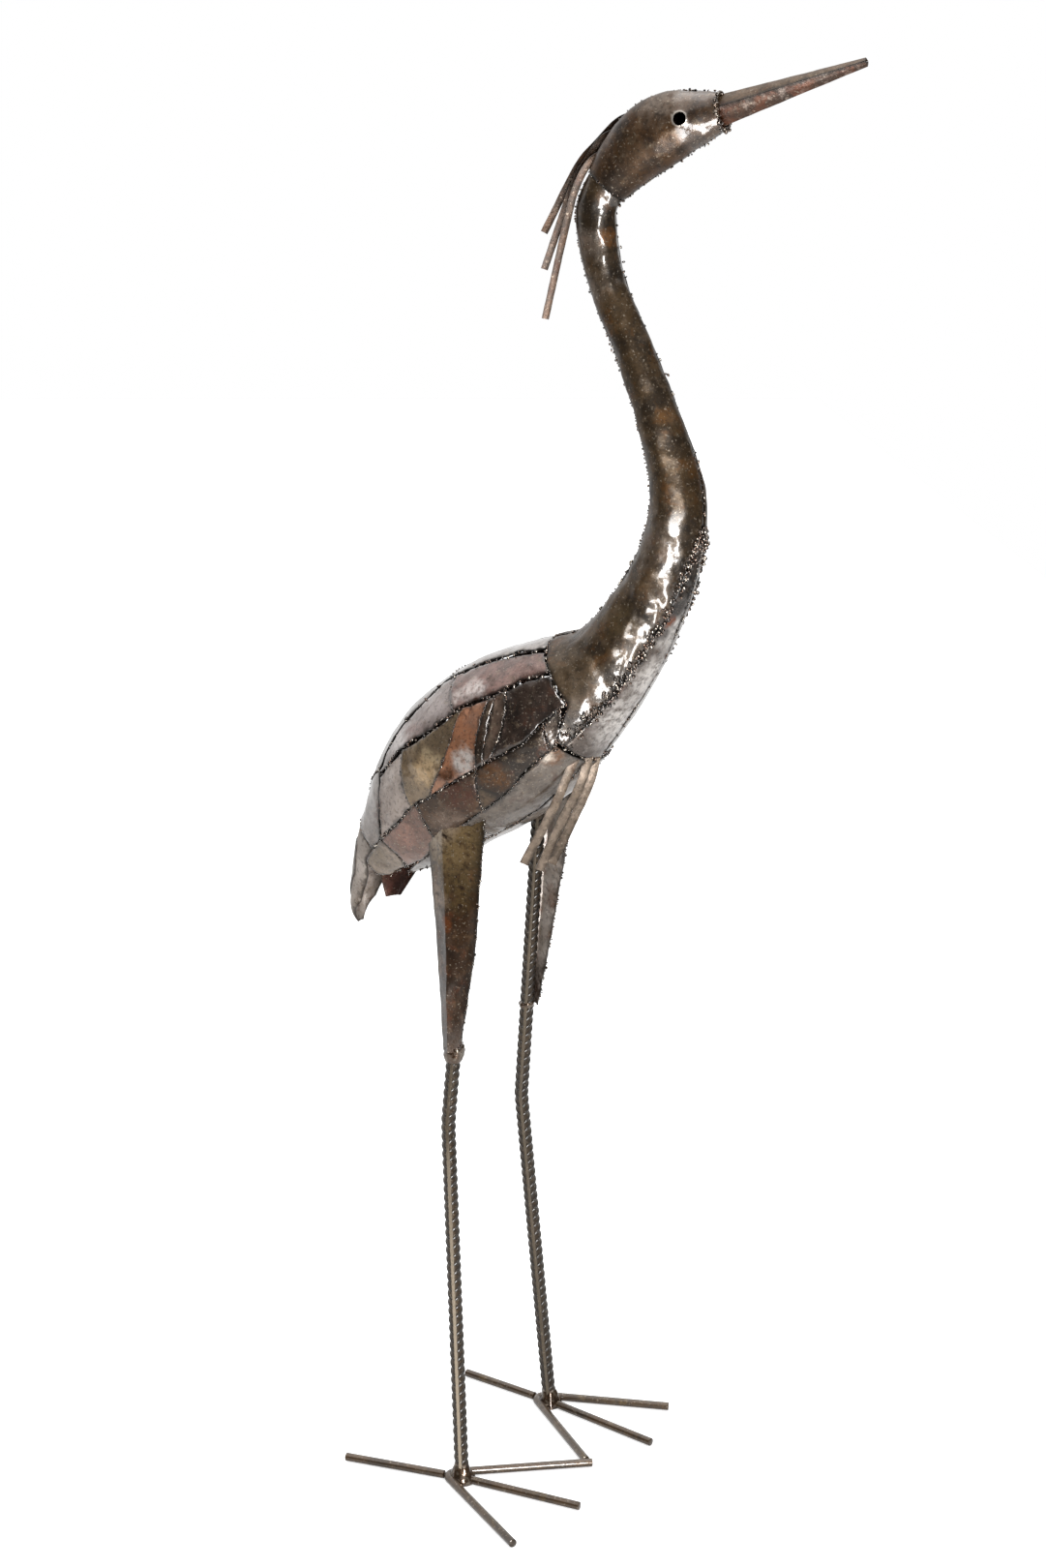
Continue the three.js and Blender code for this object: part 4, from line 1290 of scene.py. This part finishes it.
@dataclass(frozen=True)
class PlateSpec:
    """Where one body plate lies: its two seam lines, and its ends at three places across."""

    upper: str
    lower: str
    gaps: Gaps
    front: tuple[float, float, float]
    rear: tuple[float, float, float]
    slot: str
    finish: SteelFinish
    matt: float = 0.0

    def outline(self, sign: int) -> Outline:
        """Outline of the plate on one side.

        Args:
            sign: 1 for the left side, -1 for the right one.
        Returns:
            The outline.
        """
        def through(values: tuple, u: Array) -> Array:
            """Curve through three values, at 0, a half and 1."""
            a, b, c = values
            return a * (1 - u) * (1 - 2 * u) + b * 4 * u * (1 - u) + c * u * (2 * u - 1)

        def outline(s: Array, r: Array) -> tuple[Array, Array]:
            """Station and angle on the plate.

            Args:
                s: Places along it.
                r: Places across it.
            Returns:
                Station and angle.
            """
            front = through(self.front, r)
            station = front + (through(self.rear, r) - front) * s
            upper, lower = (along_pairs(SEAMS[seam], station) for seam in (self.upper, self.lower))
            return station, sign * (upper + (lower - upper) * r)
        return outline


# Front and rear ends of the plates, as stations at three places across
START, MIDDLE_CUT, VENT, RIDGE_CUT = (8.47,) * 3, (9.96, 10.02, 9.98), (10.9,) * 3, (10.1,) * 3
STRIPS = ((9.14, 9.33, 9.82), (9.27, 9.59, 9.95), (9.4, 9.75, 10.06))
WINGS = ((9.82, 10.33, 10.99), (10.98, 11.25, 11.42), (11.62, 12.02, 12.5))
GUSSETS = ((8.57, 8.68, 8.93), (8.86, 8.98, 9.06))
FLANKS = ((10.07, 10.28, 10.45), (11.3, 11.5, 11.75), (12.52, 12.54, 12.75))

# Rows of plates on the right side: two seams and gaps, then name, ends, slot, finish, matt
ROWS = (
    ("back", "ridge", Gaps(lower=2.8, ragged=1.9), (
        ("back_ridge_front", START, RIDGE_CUT, "grey_sheet", steel("pale_scale_ridge", "a59d98", "857b75")),
        ("back_ridge_rear", RIDGE_CUT, (12.88, 12.23, 11.63), "grey_sheet",
         steel("pale_scale_rump", "8d8580", "6f6660")))),
    ("ridge", "wing", Gaps(upper=2.4, lower=2.2, ragged=1.6), (
        # The two near-white patches at its rear end are a painted highlight streak
        ("wing_upper_front", START, MIDDLE_CUT, "mauve_sheet", steel(
            "mauve_scale_wing", "8a6a61", "664e46", Patch((-1, -56, 785), 14, "d9cec9", 0.8),
            Patch((-17, -59, 775), 10, "cfc2bc", 0.7))),
        # Its light base is partly painted reflection, and the near-white patch is a painted reflection; the
        # mauve patch is the steel's own colour
        ("wing_upper_rear", MIDDLE_CUT, (11.64, 11.63, 11.6), "grey_sheet", steel(
            "pale_scale_wing", "9c8f8b", "7b6c66", Patch((-65, -64, 738), 14, "8a6a61", 0.5),
            Patch((-85, -60, 725), 16, "d5cdc9", 0.7))))),
    ("wing", "flank", Gaps(upper=2.2, lower=1.2, ragged=1.3), (
        ("shoulder_plate", START, STRIPS[0], "dark_sheet", steel(
            "dark_scale_shoulder", "3d2d23", "261a13", Patch((59, -60, 792), 18, "55463d", 0.6),
            fleck_share=0.05)),
        ("covert_strip_front", STRIPS[0], STRIPS[1], "dark_sheet",
         steel("dark_scale_covert", "6a574a", "41342a")),
        ("covert_strip_rear", STRIPS[1], STRIPS[2], "brown_sheet",
         steel("brown_scale_covert", "4e3b2d", "33261b")),
        ("wing_middle", STRIPS[2], WINGS[0], "copper_sheet", steel(
            "copper_scale_wing", "c08462", "a07053", Patch((1, -78, 721), 14, "e9e0d9", 0.9),
            Patch((-11, -77, 702), 14, "4a2810", 0.9), Patch((13, -72, 762), 16, "9a7663", 0.6))),
        ("wing_rear", WINGS[0], WINGS[1], "olive_sheet", steel(
            "olive_scale_wing", "937d62", "77654f", Patch((-40, -78, 707), 15, "d9b98f", 0.85),
            Patch((-36, -78, 722), 10, "d3bb96", 0.7))),
        ("wing_tip", WINGS[1], WINGS[2], "mauve_sheet", steel("taupe_scale_wing", "ab9c92", "8d7f76")))),
    ("rump", "flank", Gaps(), (
        ("rump_edge", (11.67, 11.9, 12.53), (12.9, 12.91, 12.92), "grey_sheet",
         steel("grey_scale_rump", "8a7f78", "6d625a")),)),
    ("flank", "belly", Gaps(), (
        ("shoulder_gusset", GUSSETS[0], GUSSETS[1], "dark_sheet",
         steel("dark_scale_gusset", "40342a", "261e17")),
        ("flank_front", GUSSETS[1], FLANKS[0], "olive_sheet", steel(
            "olive_scale_flank", "33261a", "20170e", Patch((31, -69, 708), 15, "5e3a12", 0.85),
            Patch((11, -65, 683), 12, "67543f", 0.8)), 0.5),
        ("flank_middle", FLANKS[0], FLANKS[1], "copper_sheet", steel(
            "rust_scale_flank", "563c25", "3b2817", Patch((-7, -73, 690), 20, "4a230a", 1.0),
            Patch((-25, -61, 658), 18, "7a6555", 0.8)), 0.5),
        ("flank_rear", FLANKS[1], FLANKS[2], "mauve_sheet", steel(
            "pink_scale_flank", "84604e", "6b4d3f", Patch((-79, -53, 637), 15, "9a6e5c", 0.6))),
        ("rump_plate", FLANKS[2], (13.35, 13.5, 13.35), "mauve_sheet",
         steel("taupe_scale_rump", "93806f", "74634e")))),
    ("belly", "keel", Gaps(), (
        # The near-white spot in the middle of the gold flash is a painted highlight
        ("belly_side", (8.95,) * 3, VENT, "grey_sheet", steel(
            "grey_scale_belly", "7d7267", "5f5348", Patch((79, -52, 732), 13, "7a4a18", 0.9),
            Patch((74, -54, 732), 9, "f4e8d8", 1.0), Patch((62, -58, 722), 9, "2e241c", 0.7))),
        ("vent_plate", VENT, (12.44, 12.9, 13.1), "grey_sheet",
         steel("grey_scale_vent", "7c7169", "62574f")))),
)


@dataclass(frozen=True)
class Body:
    """Body of plates laid in rows, hammered to the form and welded edge to edge."""

    hammering: Hammering = Hammering(24.0, 0.5, 0.9)
    keel_ends: tuple[float, float] = (8.95, 13.1)
    keel_finish: SteelFinish = steel("grey_scale_keel", "a3968a", "6f6256")

    def specs(self, side: str) -> dict[str, PlateSpec]:
        """The plates of a side, fewer and larger ones on the left.

        Args:
            side: Name of the side.
        Returns:
            The plates by name.
        """
        specs = {name: PlateSpec(*seams, *rest) for *seams, row in ROWS for name, *rest in row}
        if side == "left":
            for name in ("covert_strip_front", "covert_strip_rear", "wing_middle", "shoulder_gusset"):
                del specs[name]
            for name, change in (("shoulder_plate", {"rear": STRIPS[2]}), ("wing_rear", {"front": STRIPS[2]}),
                                 ("flank_front", {"front": GUSSETS[0]})):
                specs[name] = replace(specs[name], **change)
        return specs

    def build(self) -> None:
        """Makes all plates and welds their lower and rear edges."""
        for side, sign in SIDES:
            welds = WeldShop(f"body_{side}", "grey_sheet")
            for name, spec in self.specs(side).items():
                plate = Plate(
                    f"{side}_{name}", FORM, spec.outline(sign), spec.finish, spec.slot, spec.gaps,
                    self.hammering, lap=1.4 if spec.upper in LAPPED else 0.7, matt=spec.matt)
                plate.build()
                welds.add(plate.edge("lower"), Weld.TACK if spec.lower in LAPPED else Weld.STITCH)
                welds.add(plate.edge("rear"), Weld.STITCH)
                if name == "shoulder_gusset":
                    for edge in ("front", "rear", "upper", "lower"):
                        welds.add(plate.edge(edge), Weld.HEAVY)
            welds.build()
        Plate("keel_plate", FORM, self.keel_outline, self.keel_finish, "grey_sheet",
              hammering=Hammering(28.0, 0.5, 1.0)).build()

    def keel_outline(self, s: Array, r: Array) -> tuple[Array, Array]:
        """Outline of the keel plate.

        Args:
            s: Places along it.
            r: Places across it.
        Returns:
            Station and angle.
        """
        station = mix(*self.keel_ends, s)
        edge = along_pairs(SEAMS["keel"], station)
        return station, edge + (360 - 2 * edge) * r


@dataclass(frozen=True)
class Tail:
    """Pointed blade along the back line, a short covert on it and a scoop below."""

    finish: SteelFinish = steel(
        "taupe_scale_tail", "c2b7ae", "a0958c", Patch((-150, -14, 548), 16, "6a5a4b", 0.85),
        Patch((-140, -20, 575), 12, "7a6a5b", 0.7), blotch=30.0, metallic=0.2, roughness=0.6)
    blade_ends: tuple[float, float] = (12.92, 15.95)
    blade: tuple = ((0, 88.5), (0.14, 85), (0.3, 104), (0.6, 118), (1, 48))  # half angle along it
    covert_ends: tuple[float, float] = (13.35, 14.85)
    covert: tuple = ((0, 46), (0.5, 58), (1, 14))
    scoop_finish: SteelFinish = steel("maroon_scale_scoop", "70483c", "4a3028")
    scoop_root: Point = (-112, -8, 604)
    scoop_tip: Point = (-121, -13, 558)
    root_half: float = 33.0
    tip_half: float = 8.5
    sag: float = 9.0

    @staticmethod
    def outline(start: float, end: float, half: tuple) -> Outline:
        """Outline of a blade.

        Args:
            start: Station of its root.
            end: Station of its tip.
            half: Its half angle at places from 0 to 1 along it.
        Returns:
            The outline.
        """
        def outline(s: Array, r: Array) -> tuple[Array, Array]:
            """Station and angle at s along and r across."""
            return mix(start, end, s), along_pairs(half, s) * mix(-1, 1, r)
        return outline

    def build(self) -> None:
        """Makes the blade, the covert and the scoop."""
        soft = Hammering(24.0, 0.3, 0.5)
        Plate("tail_blade", FORM, self.outline(*self.blade_ends, self.blade), self.finish, "grey_sheet",
              Gaps(0.4, 0.8, 0.8, 0.8, 0.3), soft, flare=0.3, matt=1.0).build()
        top = Plate("tail_covert", FORM, self.outline(*self.covert_ends, self.covert), self.finish,
                    "grey_sheet", hammering=soft, lift=2.4, flare=0.3)
        top.build()
        welds = WeldShop("tail", "grey_sheet")
        welds.add(top.edge("front"), Weld.STITCH)
        welds.build()
        s, side = np.meshgrid(np.linspace(0, 1, 26), np.linspace(-1, 1, 21), indexing="ij")
        root, tip = np.array(self.scoop_root), np.array(self.scoop_tip)
        half = mix(self.root_half, self.tip_half, s)
        points = root + (tip - root) * s[..., None]
        points[..., 0] += side * half
        points[..., 2] += side * half * 0.25
        points[..., 1] += self.sag * (1 - side**2) * (1 - 0.6 * s)
        shell = sheet_shell(points + [0, SHEET, 0], points, (1 - np.abs(side)) * half)
        add_piece("tail_scoop_steel", shell, self.scoop_finish, "copper_sheet", "tail_scoop")


# ---------------------------------------------------------------- legs and feet


def level_path(corners: list[Array], height: float, step: float = 6.0) -> Array:
    """Axis of a bar that lies level.

    Args:
        corners: Its corners, seen from above.
        height: Its height.
        step: Least distance of two points.
    Returns:
        Points along the bar.
    """
    dense = [corners[0]]
    for a, b in zip(corners, corners[1:]):
        count = max(1, int(np.linalg.norm(b - a) / step))
        dense += [a + (b - a) * (k + 1) / count for k in range(count)]
    return np.column_stack([np.array(dense), np.full(len(dense), height)])


@dataclass(frozen=True)
class Leg:
    """Ribbed bar from the foot through the ankle to the hip, its thigh sheet and its toes.

    A row of the thigh gives a height, then x and outward y of its rear edge, its fold and
    its front edge, from the bar's axis. The sleeve and the foot's weld are rings of weld
    metal round the bar, given as radius and height.
    """

    side: str
    sign: int
    foot: Point
    ankle: Point
    hip: Point
    outer_toe: tuple[float, float]
    middle_toe: tuple[float, float]
    back_toe: tuple[float, float]
    thigh: tuple[tuple[float, ...], ...]
    inner_joint: tuple[float, float] = (99, -9)
    core: float = 6.1
    long_rib: float = 7.2
    rib_pitch: float = 8.7
    rib_height: float = 1.45
    rib_rise: float = 11.0
    rib_turn: float = -70.0
    rib_foot: float = 20.5  # degrees from the middle of a long rib to its foot
    rib_slope: float = 10.0  # degrees that its flank takes
    rib_top: float = 11.0  # degrees from its middle that are painted pale, partly as polish and partly as a highlight
    sides: int = 36
    # Below this height the long rib's top is painted fully pale, partly polished steel and partly a painted
    # highlight; elsewhere less
    polish_and_sheen_below: float = 0.0
    rib_wear_and_sheen: float = 0.25
    bar_matt: float = 0.6
    thigh_matt: tuple[float, float] = (0.4, 0.95)  # behind the fold and before it
    sleeve: tuple = (
        (6.9, -13), (8.6, -10), (9.6, -5), (10.4, 0), (10.2, 3), (9.0, 5.5), (5.6, 6.5), (5.6, -13))
    foot_weld: tuple = (
        (6.2, 19.0), (7.6, 17.0), (8.8, 12.5), (10.6, 8.5), (12.2, 5.0), (12.6, 1.0), (11.0, 0.0), (5.0, 0.0))
    cut_above: float = 600.0  # height above which the body cuts the thigh sheet
    toe_radius: float = 4.0
    bend_radius: float = 9.0
    bar_finish: SteelFinish = steel(
        "taupe_mill_bar", "503b24", "392a19", fleck="75664f", rust="6a5228", rust_share=0.1, blotch=40.0,
        metallic=0.5, roughness=0.4, peel=0.12)
    # The core between the ribs is painted darker than the ribs themselves, which stands in for the shade
    # between them
    core_finish: SteelFinish = steel(
        "dark_mill_bar", "3b2c18", "2a1f11", fleck="5c4d39", rust="4a3516", rust_share=0.1, blotch=40.0,
        metallic=0.5, roughness=0.4, peel=0.12, worn="b3a38e")
    # The pale patches down the rear facet are partly the steel's tone and partly a painted reflection of the
    # bright surround
    thigh_finish: SteelFinish = steel(
        "dark_scale_thigh", "382413", "22140a", Patch((-22, -66, 655), 58, "7d6847", 0.85),
        Patch((-16, -66, 590), 22, "5d4a2c", 0.6), Patch((-30, -70, 557), 8, "6b3a1a", 0.7),
        Patch((-60, -58, 655), 36, "b3a18d", 0.9), Patch((-50, -62, 580), 20, "8d7966", 0.9),
        Patch((-42, -62, 512), 11, "806c5a", 0.8), fleck="5d4630", rust="5a2e14", rust_share=0.12,
        blotch=26.0, metallic=0.12, roughness=0.42)

    def axis(self, z: Array) -> Array:
        """Points of the bar's axis at given heights."""
        corners = np.array([self.foot, self.ankle, self.hip])
        return np.stack([np.interp(z, corners[:, 2], corners[:, k]) for k in range(3)], -1)

    def build_bar(self, skin: BVHTree) -> None:
        """Makes the bar up to the belly, with its two long ribs and its crescent ribs.

        Args:
            skin: Surface of the body.
        """
        way = Vector(self.hip) - Vector(self.ankle)
        hit = skin.ray_cast(Vector(self.ankle), way.normalized())[0]
        top = float(hit.z) if hit else self.hip[2]
        path = self.axis(np.linspace(0.0, top, 190))
        path[1:-1] = (path[:-2] + path[1:-1] + path[2:]) / 3
        angle = np.arange(self.sides) * 360 / self.sides
        off = np.abs((angle - self.rib_turn + 90) % 180 - 90)
        raised = np.clip((self.rib_foot - off) / self.rib_slope, 0, 1)
        radius = self.core + (self.long_rib - self.core) * raised
        turn = np.radians(angle)
        rings = path[:, None] + np.stack([np.cos(turn), np.sin(turn), 0 * turn], -1) * radius[:, None]
        shell = ring_shell(rings)
        # Pale top of the long rib: partly polished steel, partly a painted highlight, strongest low down
        polish_and_sheen = np.clip((self.polish_and_sheen_below - rings[..., 2]) / 30, 0, 1) * (1 - self.rib_wear_and_sheen) + self.rib_wear_and_sheen
        shell.bare_and_sheen = (polish_and_sheen * (off < self.rib_top)).ravel()
        shell.dull = np.full(len(shell.points), self.bar_matt)
        add_piece(f"{self.side}_leg_bar_core", shell, self.core_finish, "ribbed_bar", f"{self.side}_leg_bar",
                  sharp=28.0)
        ribs = RibTree().grow(f"{self.side}_leg_bar_ribs", [self.axis(np.linspace(9.0, top - 5, 60))], {
            "Pitch": self.rib_pitch * MM, "Bar radius": (self.core - 0.2) * MM,
            "Rib height": self.rib_height * MM, "Rib turn": math.radians(self.rib_turn + 90),
            "Rib rise": self.rib_rise * MM, "Material": self.bar_finish.material()})
        install(ribs, "ribbed_bar")

    def build_thigh(self, skin: BVHTree) -> None:
        """Makes the thigh sheet, folded round the outside of the bar and cut at the body.

        Args:
            skin: Surface of the body.
        """
        rows = np.array(self.thigh)
        r, s = np.linspace(0, 1, 29), np.linspace(0, 1, 120)
        part = np.where(np.abs(r - 0.5) < 0.05, 0.5 + (r - 0.5) * 0.9, r)
        z = mix(rows[0, 0], rows[-1, 0], s)
        edges = np.stack([np.interp(z, rows[:, 0], rows[:, k]) for k in range(1, 7)], -1).reshape(-1, 3, 2)
        rear, fold, front = (edges[:, None, k] for k in range(3))
        u = part[None, :, None] * 2
        flat = np.where(u < 1, rear + (fold - rear) * u, fold + (front - fold) * (u - 1))
        seed = seed_of(self.side)
        points = np.empty((len(z), len(r), 3))
        axis = self.axis(z)
        points[..., 0] = axis[:, None, 0] + flat[..., 0]
        points[..., 1] = axis[:, None, 1] + self.sign * flat[..., 1]
        points[..., 2] = z[:, None]
        points[..., 0] += 0.6 * ripple(points, 13.0, seed) * (np.abs(2 * r - 1) ** 4)[None, :]
        rim = np.tile((0.5 - np.abs(r - 0.5)) * 30, (len(z), 1))
        dull = np.tile(np.where(r < 0.5, *self.thigh_matt), (len(z), 1))
        out = np.array([0.0, float(self.sign), 0.0])
        marks = Hammering(16.0, 0.45, 0.8).height(points, seed) * np.clip(s * 6, 0, 1)[:, None]
        outer, inner = points + out * (SHEET * 1.2 + marks)[..., None], points + out * marks[..., None]
        below = Vector((0, 0, -1))
        keep = np.array([
            [height < self.cut_above or skin.ray_cast(Vector(p), below)[0] is None for p in row[:-1]]
            for height, row in zip(z[:-1], points)])
        shell = sheet_shell(outer, inner, rim, keep, dull)
        add_piece(f"{self.side}_thigh_sheet_steel", shell, self.thigh_finish, "dark_sheet",
                  f"{self.side}_thigh_sheet")
        welds = WeldShop(f"{self.side}_thigh", "dark_sheet")
        welds.add(outer[:keep[:, -1].sum(), -1], Weld.STITCH)
        welds.build()
        self.build_lump("thigh_weld", tuple((radius, rows[0, 0] + up) for radius, up in self.sleeve))

    def toe_paths(self) -> dict[str, Array]:
        """Axes of the toe bars on the floor.

        Returns:
            Points of each axis, by node name.
        """
        leg, outer, inner, middle, back = (np.array(p[:2], float) for p in (
            self.foot, self.outer_toe, self.inner_joint, self.middle_toe, self.back_toe))
        clearance = self.long_rib + self.toe_radius + 0.8

        def turned(v: Array, angle: float) -> Array:
            """Vector turned about the vertical."""
            c, s = math.cos(angle), math.sin(angle)
            return np.array([c * v[0] - s * v[1], s * v[0] + c * v[1]])

        def back_from(tip: Array, side: int) -> Array:
            """Direction from a toe tip back past the leg."""
            way = leg - tip
            return turned(unit(way), side * math.asin(clearance / np.linalg.norm(way)))

        def cross(a: Array, b: Array) -> float:
            """Cross product of two vectors on the floor."""
            return a[0] * b[1] - a[1] * b[0]

        outer_way, inner_way = back_from(outer, -self.sign), back_from(inner, self.sign)
        apex = outer + outer_way * cross(inner - outer, inner_way) / cross(outer_way, inner_way)
        opening = math.acos(float(np.dot(outer_way, inner_way))) / 2
        bisector = -unit(outer_way + inner_way)
        centre = apex + bisector * self.bend_radius / math.sin(opening)
        sweep = self.sign * (math.pi - 2 * opening)
        bend = [centre + turned(-bisector, sweep * (i / 10 - 0.5)) * self.bend_radius for i in range(11)]
        end = inner + inner_way * (5.4 if self.sign > 0 else -self.toe_radius)
        root = centre + unit(back - apex) * (self.bend_radius + self.toe_radius + 0.4)
        start = leg + unit(middle - leg) * (self.long_rib + 0.4)
        corners = {"toe_pair": [outer, *bend, end], "middle_toe": [start, middle], "back_toe": [root, back]}
        return {name: level_path(points, self.toe_radius) for name, points in corners.items()}

    def build_lump(self, name: str, levels: tuple[tuple[float, float], ...]) -> None:
        """Makes a lumpy ring of weld metal round the leg bar.

        Args:
            name: What the ring is called.
            levels: Radius and height of its outline.
        """
        angle = np.radians(np.arange(0, 360, 9))
        rings = []
        for k, (radius, z) in enumerate(levels):
            centre = self.axis(np.array(z))
            ring = centre + np.stack([np.cos(angle) * radius, np.sin(angle) * radius, 0 * angle], -1)
            swell = ripple(ring, 5.0, seed_of(self.side)) * (1.5 if 0 < k < len(levels) - 2 else 0.0)
            rings.append(ring + unit(ring - centre) * swell[:, None])
        rings = np.array(rings)
        rings[..., 2] = np.maximum(rings[..., 2], 0.0)
        add_piece(f"{self.side}_{name}", ring_shell(rings), BROWN_WELD, "round_bar", sharp=80.0)

    def build(self, skin: BVHTree) -> None:
        """Makes the whole leg.

        Args:
            skin: Surface of the body.
        """
        self.build_bar(skin)
        self.build_thigh(skin)
        for name, path in self.toe_paths().items():
            first, last = (path[a] + (path[b] - path[a]) * 0.08 for a, b in ((0, 1), (-1, -2)))
            path = np.vstack([path[0], first, path[1:-1], last, path[-1]])
            add_piece(f"{self.side}_{name}_steel", floor_bar(path, self.toe_radius), self.bar_finish,
                      "round_bar", f"{self.side}_{name}")
        self.build_lump("foot_weld", self.foot_weld)


LEGS = (
    Leg("right", -1, (6, -97, 0), (-25, -68, 358), (-8.4, -39.8, 700), (111, -178), (132, -87), (-116, -119),
        ((432, -8.5, 4.5, -0.5, 10.4, 9, 3.6), (530, -26, 1.5, -9, 13, 16, 2),
         (640, -45, 4, -23, 13, 17.5, 7), (690, -52, 3, -27, 14, 19.5, 8)), polish_and_sheen_below=345.0),
    Leg("left", 1, (3, 84, 0), (-20, 64, 346), (20.5, 38.4, 740), (115, 136), (134, 59), (-106, 96),
        ((445, -6, 4.5, 0, 10.4, 10, 4), (523, -5.5, 6, 2, 12, 20.5, 3), (590, -5, 7, 3, 13, 28, 3),
         (650, -5, 8, 4, 14, 33.5, 3), (735, -7, 6, 2, 9, 30, 0)),
        sleeve=((6.6, -4), (7.6, -2), (8.2, 0), (7.8, 2), (6.4, 3.5), (5.6, 3.5), (5.6, -4)),
        # Its very pale base partly stands in for light: the sheet lies in the body's shade but is painted as
        # pale as its bright reflection
        thigh_finish=steel(
            "taupe_scale_thigh", "cfc4bb", "a89a8e", Patch((4, 62, 455), 34, "4a382a", 0.85),
            Patch((20, 56, 560), 12, "8a6248", 0.5), fleck="8a7358", rust="6b3a1c", rust_share=0.1,
            blotch=34.0, metallic=0.2, roughness=0.42)))


# ---------------------------------------------------------------- studio


@dataclass(frozen=True)
class Lamp:
    """Softbox, or a bright card that only shows in reflections. Places and sizes in metres."""

    name: str
    at: Point
    aim: Point
    size: tuple[float, float]
    radiance: float
    card: bool = False

    def build(self) -> None:
        """Adds the light."""
        light = bpy.data.lights.new(self.name, "AREA")
        light.shape = "RECTANGLE"
        light.size, light.size_y = self.size
        light.energy = self.radiance * self.size[0] * self.size[1] * math.pi
        obj = add_object(self.name, light)
        obj.location = self.at
        obj.rotation_euler = (Vector(self.aim) - Vector(self.at)).to_track_quat("-Z", "Y").to_euler()
        obj.visible_camera = False
        obj.visible_diffuse = not self.card


@dataclass(frozen=True)
class Studio:
    """White studio: floor, surround, a tall softbox beside the camera, a weak one above, cards."""

    camera_at: Point = (1.0956, -1.9932, 1.25)
    azimuth: float = 30.0
    pitch: float = 13.646
    lens: float = 58.0
    sensor: float = 36.0
    floor_box: tuple[Point, ...] = ((-8.0, -1.05, 0), (1.6, -1.05, 0), (1.6, 12.0, 0), (-8.0, 12.0, 0))
    dark_turn: float = 16.0
    side_glow: tuple[float, ...] = (-0.6, -0.3, 1.0, 0.06)  # from the back to the dark front
    top_glow: tuple[float, ...] = (0.45, 0.85, 0.0, 1.7)  # from the sides to overhead
    lamps: tuple[Lamp, ...] = (
        Lamp("tall_softbox", (1.59, -1.80, 1.05), (0.05, -0.02, 1.05), (0.5, 0.8), 26.0),
        Lamp("low_card", (0.65, -0.74, 0.38), (0.06, -0.02, 0.84), (0.24, 0.66), 22.0, True),
        Lamp("cheek_card", (0.262, -0.47, 0.95), (0.114, 0.005, 1.283), (0.26, 0.27), 22.0, True),
        Lamp("overhead_softbox", (0.0, 0.1, 3.2), (0.0, 0.0, 0.9), (1.8, 1.8), 1.5))

    def world(self) -> None:
        """Bright surround behind and above, dark towards the camera."""
        world = bpy.data.worlds.new("studio")
        bpy.context.scene.world = world
        world.use_nodes = True
        tree = world.node_tree
        tree.nodes.clear()
        way = add_node(tree, "TexCoord").outputs["Generated"]
        dark = math.radians(self.azimuth + self.dark_turn)
        front = (math.sin(dark), -math.cos(dark), 0.0)
        towards = add_node(tree, "VectorMath", (way, front), operation="DOT_PRODUCT").outputs["Value"]
        up = add_node(tree, "SeparateXYZ", (way,)).outputs["Z"]
        sides, above = (add_node(tree, "MapRange", ends, interpolation_type="SMOOTHSTEP") for ends in (
            (towards, *self.side_glow), (up, *self.top_glow)))
        both = add_node(tree, "Math", (sides, above), operation="MAXIMUM")
        seen = add_node(tree, "LightPath").outputs["Is Camera Ray"]
        level = add_node(tree, "Mix", {0: seen, 2: both, 3: 1.0}, data_type="FLOAT")
        glow = add_node(tree, "Background", ((1.0, 1.0, 1.0, 1.0), level))
        add_node(tree, "OutputWorld", (glow,))

    def floor(self) -> None:
        """Matt white floor under the feet, which ends between the statue and the camera."""
        turn = math.radians(self.azimuth)
        c, s = math.cos(turn), math.sin(turn)
        corners = [(x * c - y * s, x * s + y * c, z) for x, y, z in self.floor_box]
        mesh = bpy.data.meshes.new("studio_floor")
        mesh.from_pydata(corners, [], [(0, 1, 2, 3)])
        made = bpy.data.materials.new("matt_white_floor")
        made.use_nodes = True
        tree = made.node_tree
        tree.nodes.clear()
        seen = add_node(tree, "LightPath").outputs["Is Camera Ray"]
        shader = add_node(tree, "BsdfPrincipled", {
            "Roughness": 0.7, "Emission Color": (1.0, 1.0, 1.0, 1.0),
            "Emission Strength": add_node(tree, "Mix", {0: seen, 2: 0.12, 3: 0.5}, data_type="FLOAT"),
            "Base Color": add_node(tree, "Mix", {
                0: seen, 6: (0.6, 0.6, 0.6, 1.0), 7: (0.86, 0.86, 0.86, 1.0)}, data_type="RGBA")})
        add_node(tree, "OutputMaterial", (shader,))
        mesh.materials.append(made)
        add_object("studio_floor", mesh)

    def build(self) -> None:
        """Sets up the camera, floor and lights."""
        camera = bpy.data.cameras.new("camera")
        camera.lens, camera.sensor_width = self.lens, self.sensor
        obj = add_object("camera", camera)
        obj.location = self.camera_at
        obj.rotation_euler = (math.radians(90 - self.pitch), 0.0, math.radians(self.azimuth))
        bpy.context.scene.camera = obj
        bpy.context.scene.view_settings.view_transform = "Standard"
        self.world()
        self.floor()
        for lamp in self.lamps:
            lamp.build()


def main() -> None:
    """Builds the statue piece by piece, then the studio."""
    logging.basicConfig(level=logging.INFO, format="%(name)s %(message)s")
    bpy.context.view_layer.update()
    head = Head()
    head_skin, body_skin = head.loft.surface(), FORM.surface()
    head.build()
    Bill().build()
    for strip in CREST:
        strip.build(head_skin)
    Neck().build()
    Body().build()
    for strip in PLUMES:
        strip.build(body_skin)
    Tail().build()
    for leg in LEGS:
        leg.build(body_skin)
    Studio().build()


if __name__ == "__main__":
    main()
